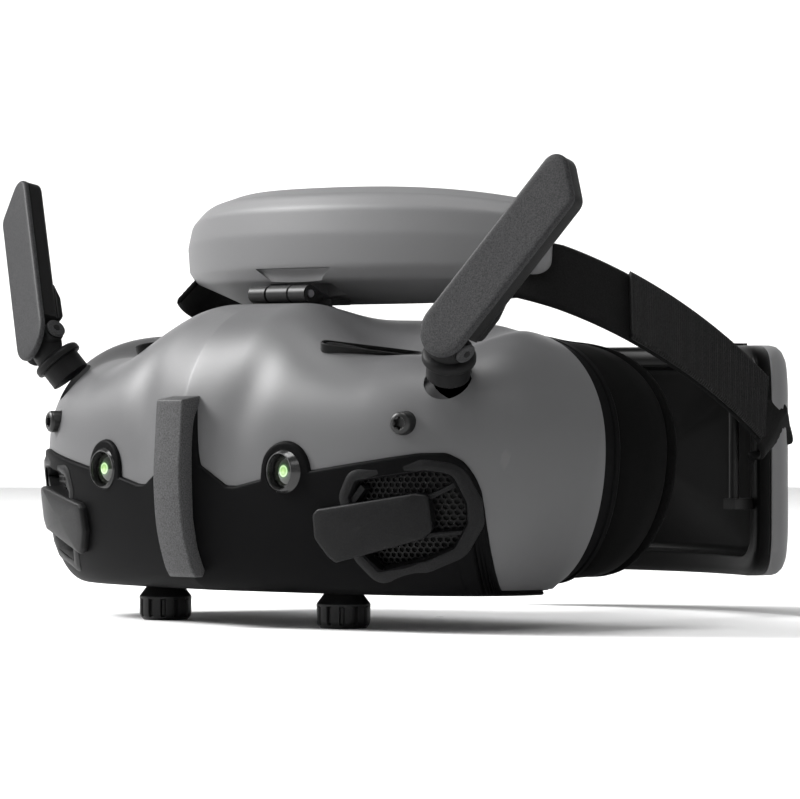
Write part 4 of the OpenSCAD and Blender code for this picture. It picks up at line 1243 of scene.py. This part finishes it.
def build_stage():
    profile = [(0.001, 0), (2.5, 0), (3.2, 0.12), (3.7, 0.5), (3.95, 1.1), (4.0, 3.0)]
    rings = [[(r * math.cos(a), r * math.sin(a), z) for a in full_turn(96)] for r, z in profile]
    faces = grid_faces(len(rings), len(rings[0]), wrap_v=True)
    floor = add_mesh("floor", np.array(rings).reshape(-1, 3), faces, at_datum=False)
    material("floor_white", (0.92, 0.92, 0.92), 0.9, specular=0.1)
    paint(floor, "floor_white")


def area_light(name, azimuth, elevation, distance, size, power, target=(0, -0.03, 0.05)):
    light = bpy.data.lights.new(name, "AREA")
    light.shape = "RECTANGLE"
    light.size, light.size_y = size
    light.energy = power
    obj = bpy.data.objects.new(name, light)
    bpy.context.scene.collection.objects.link(obj)
    az, el = math.radians(azimuth), math.radians(elevation)
    away = Vector((math.sin(az) * math.cos(el), -math.cos(az) * math.cos(el), math.sin(el)))
    obj.location = Vector(target) + away * distance
    obj.rotation_euler = away.to_track_quat("Z", "Y").to_euler()


def build_lights():
    world = bpy.data.worlds.new("studio")
    bpy.context.scene.world = world
    world.use_nodes = True
    world.node_tree.nodes["Background"].inputs["Color"].default_value = (1, 1, 1, 1)
    world.node_tree.nodes["Background"].inputs["Strength"].default_value = 0.26
    area_light("key", -58, 34, 1.6, (0.6, 0.6), 46)
    area_light("fill", 70, 40, 1.8, (0.8, 0.5), 3)
    area_light("top", -10, 80, 1.5, (0.8, 0.6), 13)
    area_light("backdrop", AZIMUTH, 4, 2.0, (2.6, 1.4), 45, target=(-2.9, 2.6, 0.7))
    bpy.context.scene.view_settings.view_transform = "Standard"


AZIMUTH = 48
CAMERA_RIGHT, CAMERA_AWAY, CAMERA_UP = 47.7, 1212, 5.3
FOCAL_LENGTH = 236.2


def build_camera():
    azimuth = math.radians(AZIMUTH)
    right = np.array([math.cos(azimuth), math.sin(azimuth), 0])
    forward = np.array([-math.sin(azimuth), math.cos(azimuth), 0])
    place = to_row(right * CAMERA_RIGHT - forward * CAMERA_AWAY + np.array([0, 0, CAMERA_UP]))
    camera = bpy.data.cameras.new("camera")
    camera.sensor_width = 36
    camera.sensor_fit = "HORIZONTAL"
    camera.lens = FOCAL_LENGTH
    obj = bpy.data.objects.new("camera", camera)
    bpy.context.scene.collection.objects.link(obj)
    obj.location = place
    obj.rotation_euler = (math.radians(90), 0, azimuth)
    bpy.context.scene.camera = obj


make_materials()
build_camera()
paint_cad()
build_shells()
build_fin()
build_cameras()
build_screws()
build_intakes()
build_top_vents()
build_rear()
build_knobs()
build_antennas()
build_pad()
build_straps()
build_battery()
build_stage()
build_lights()
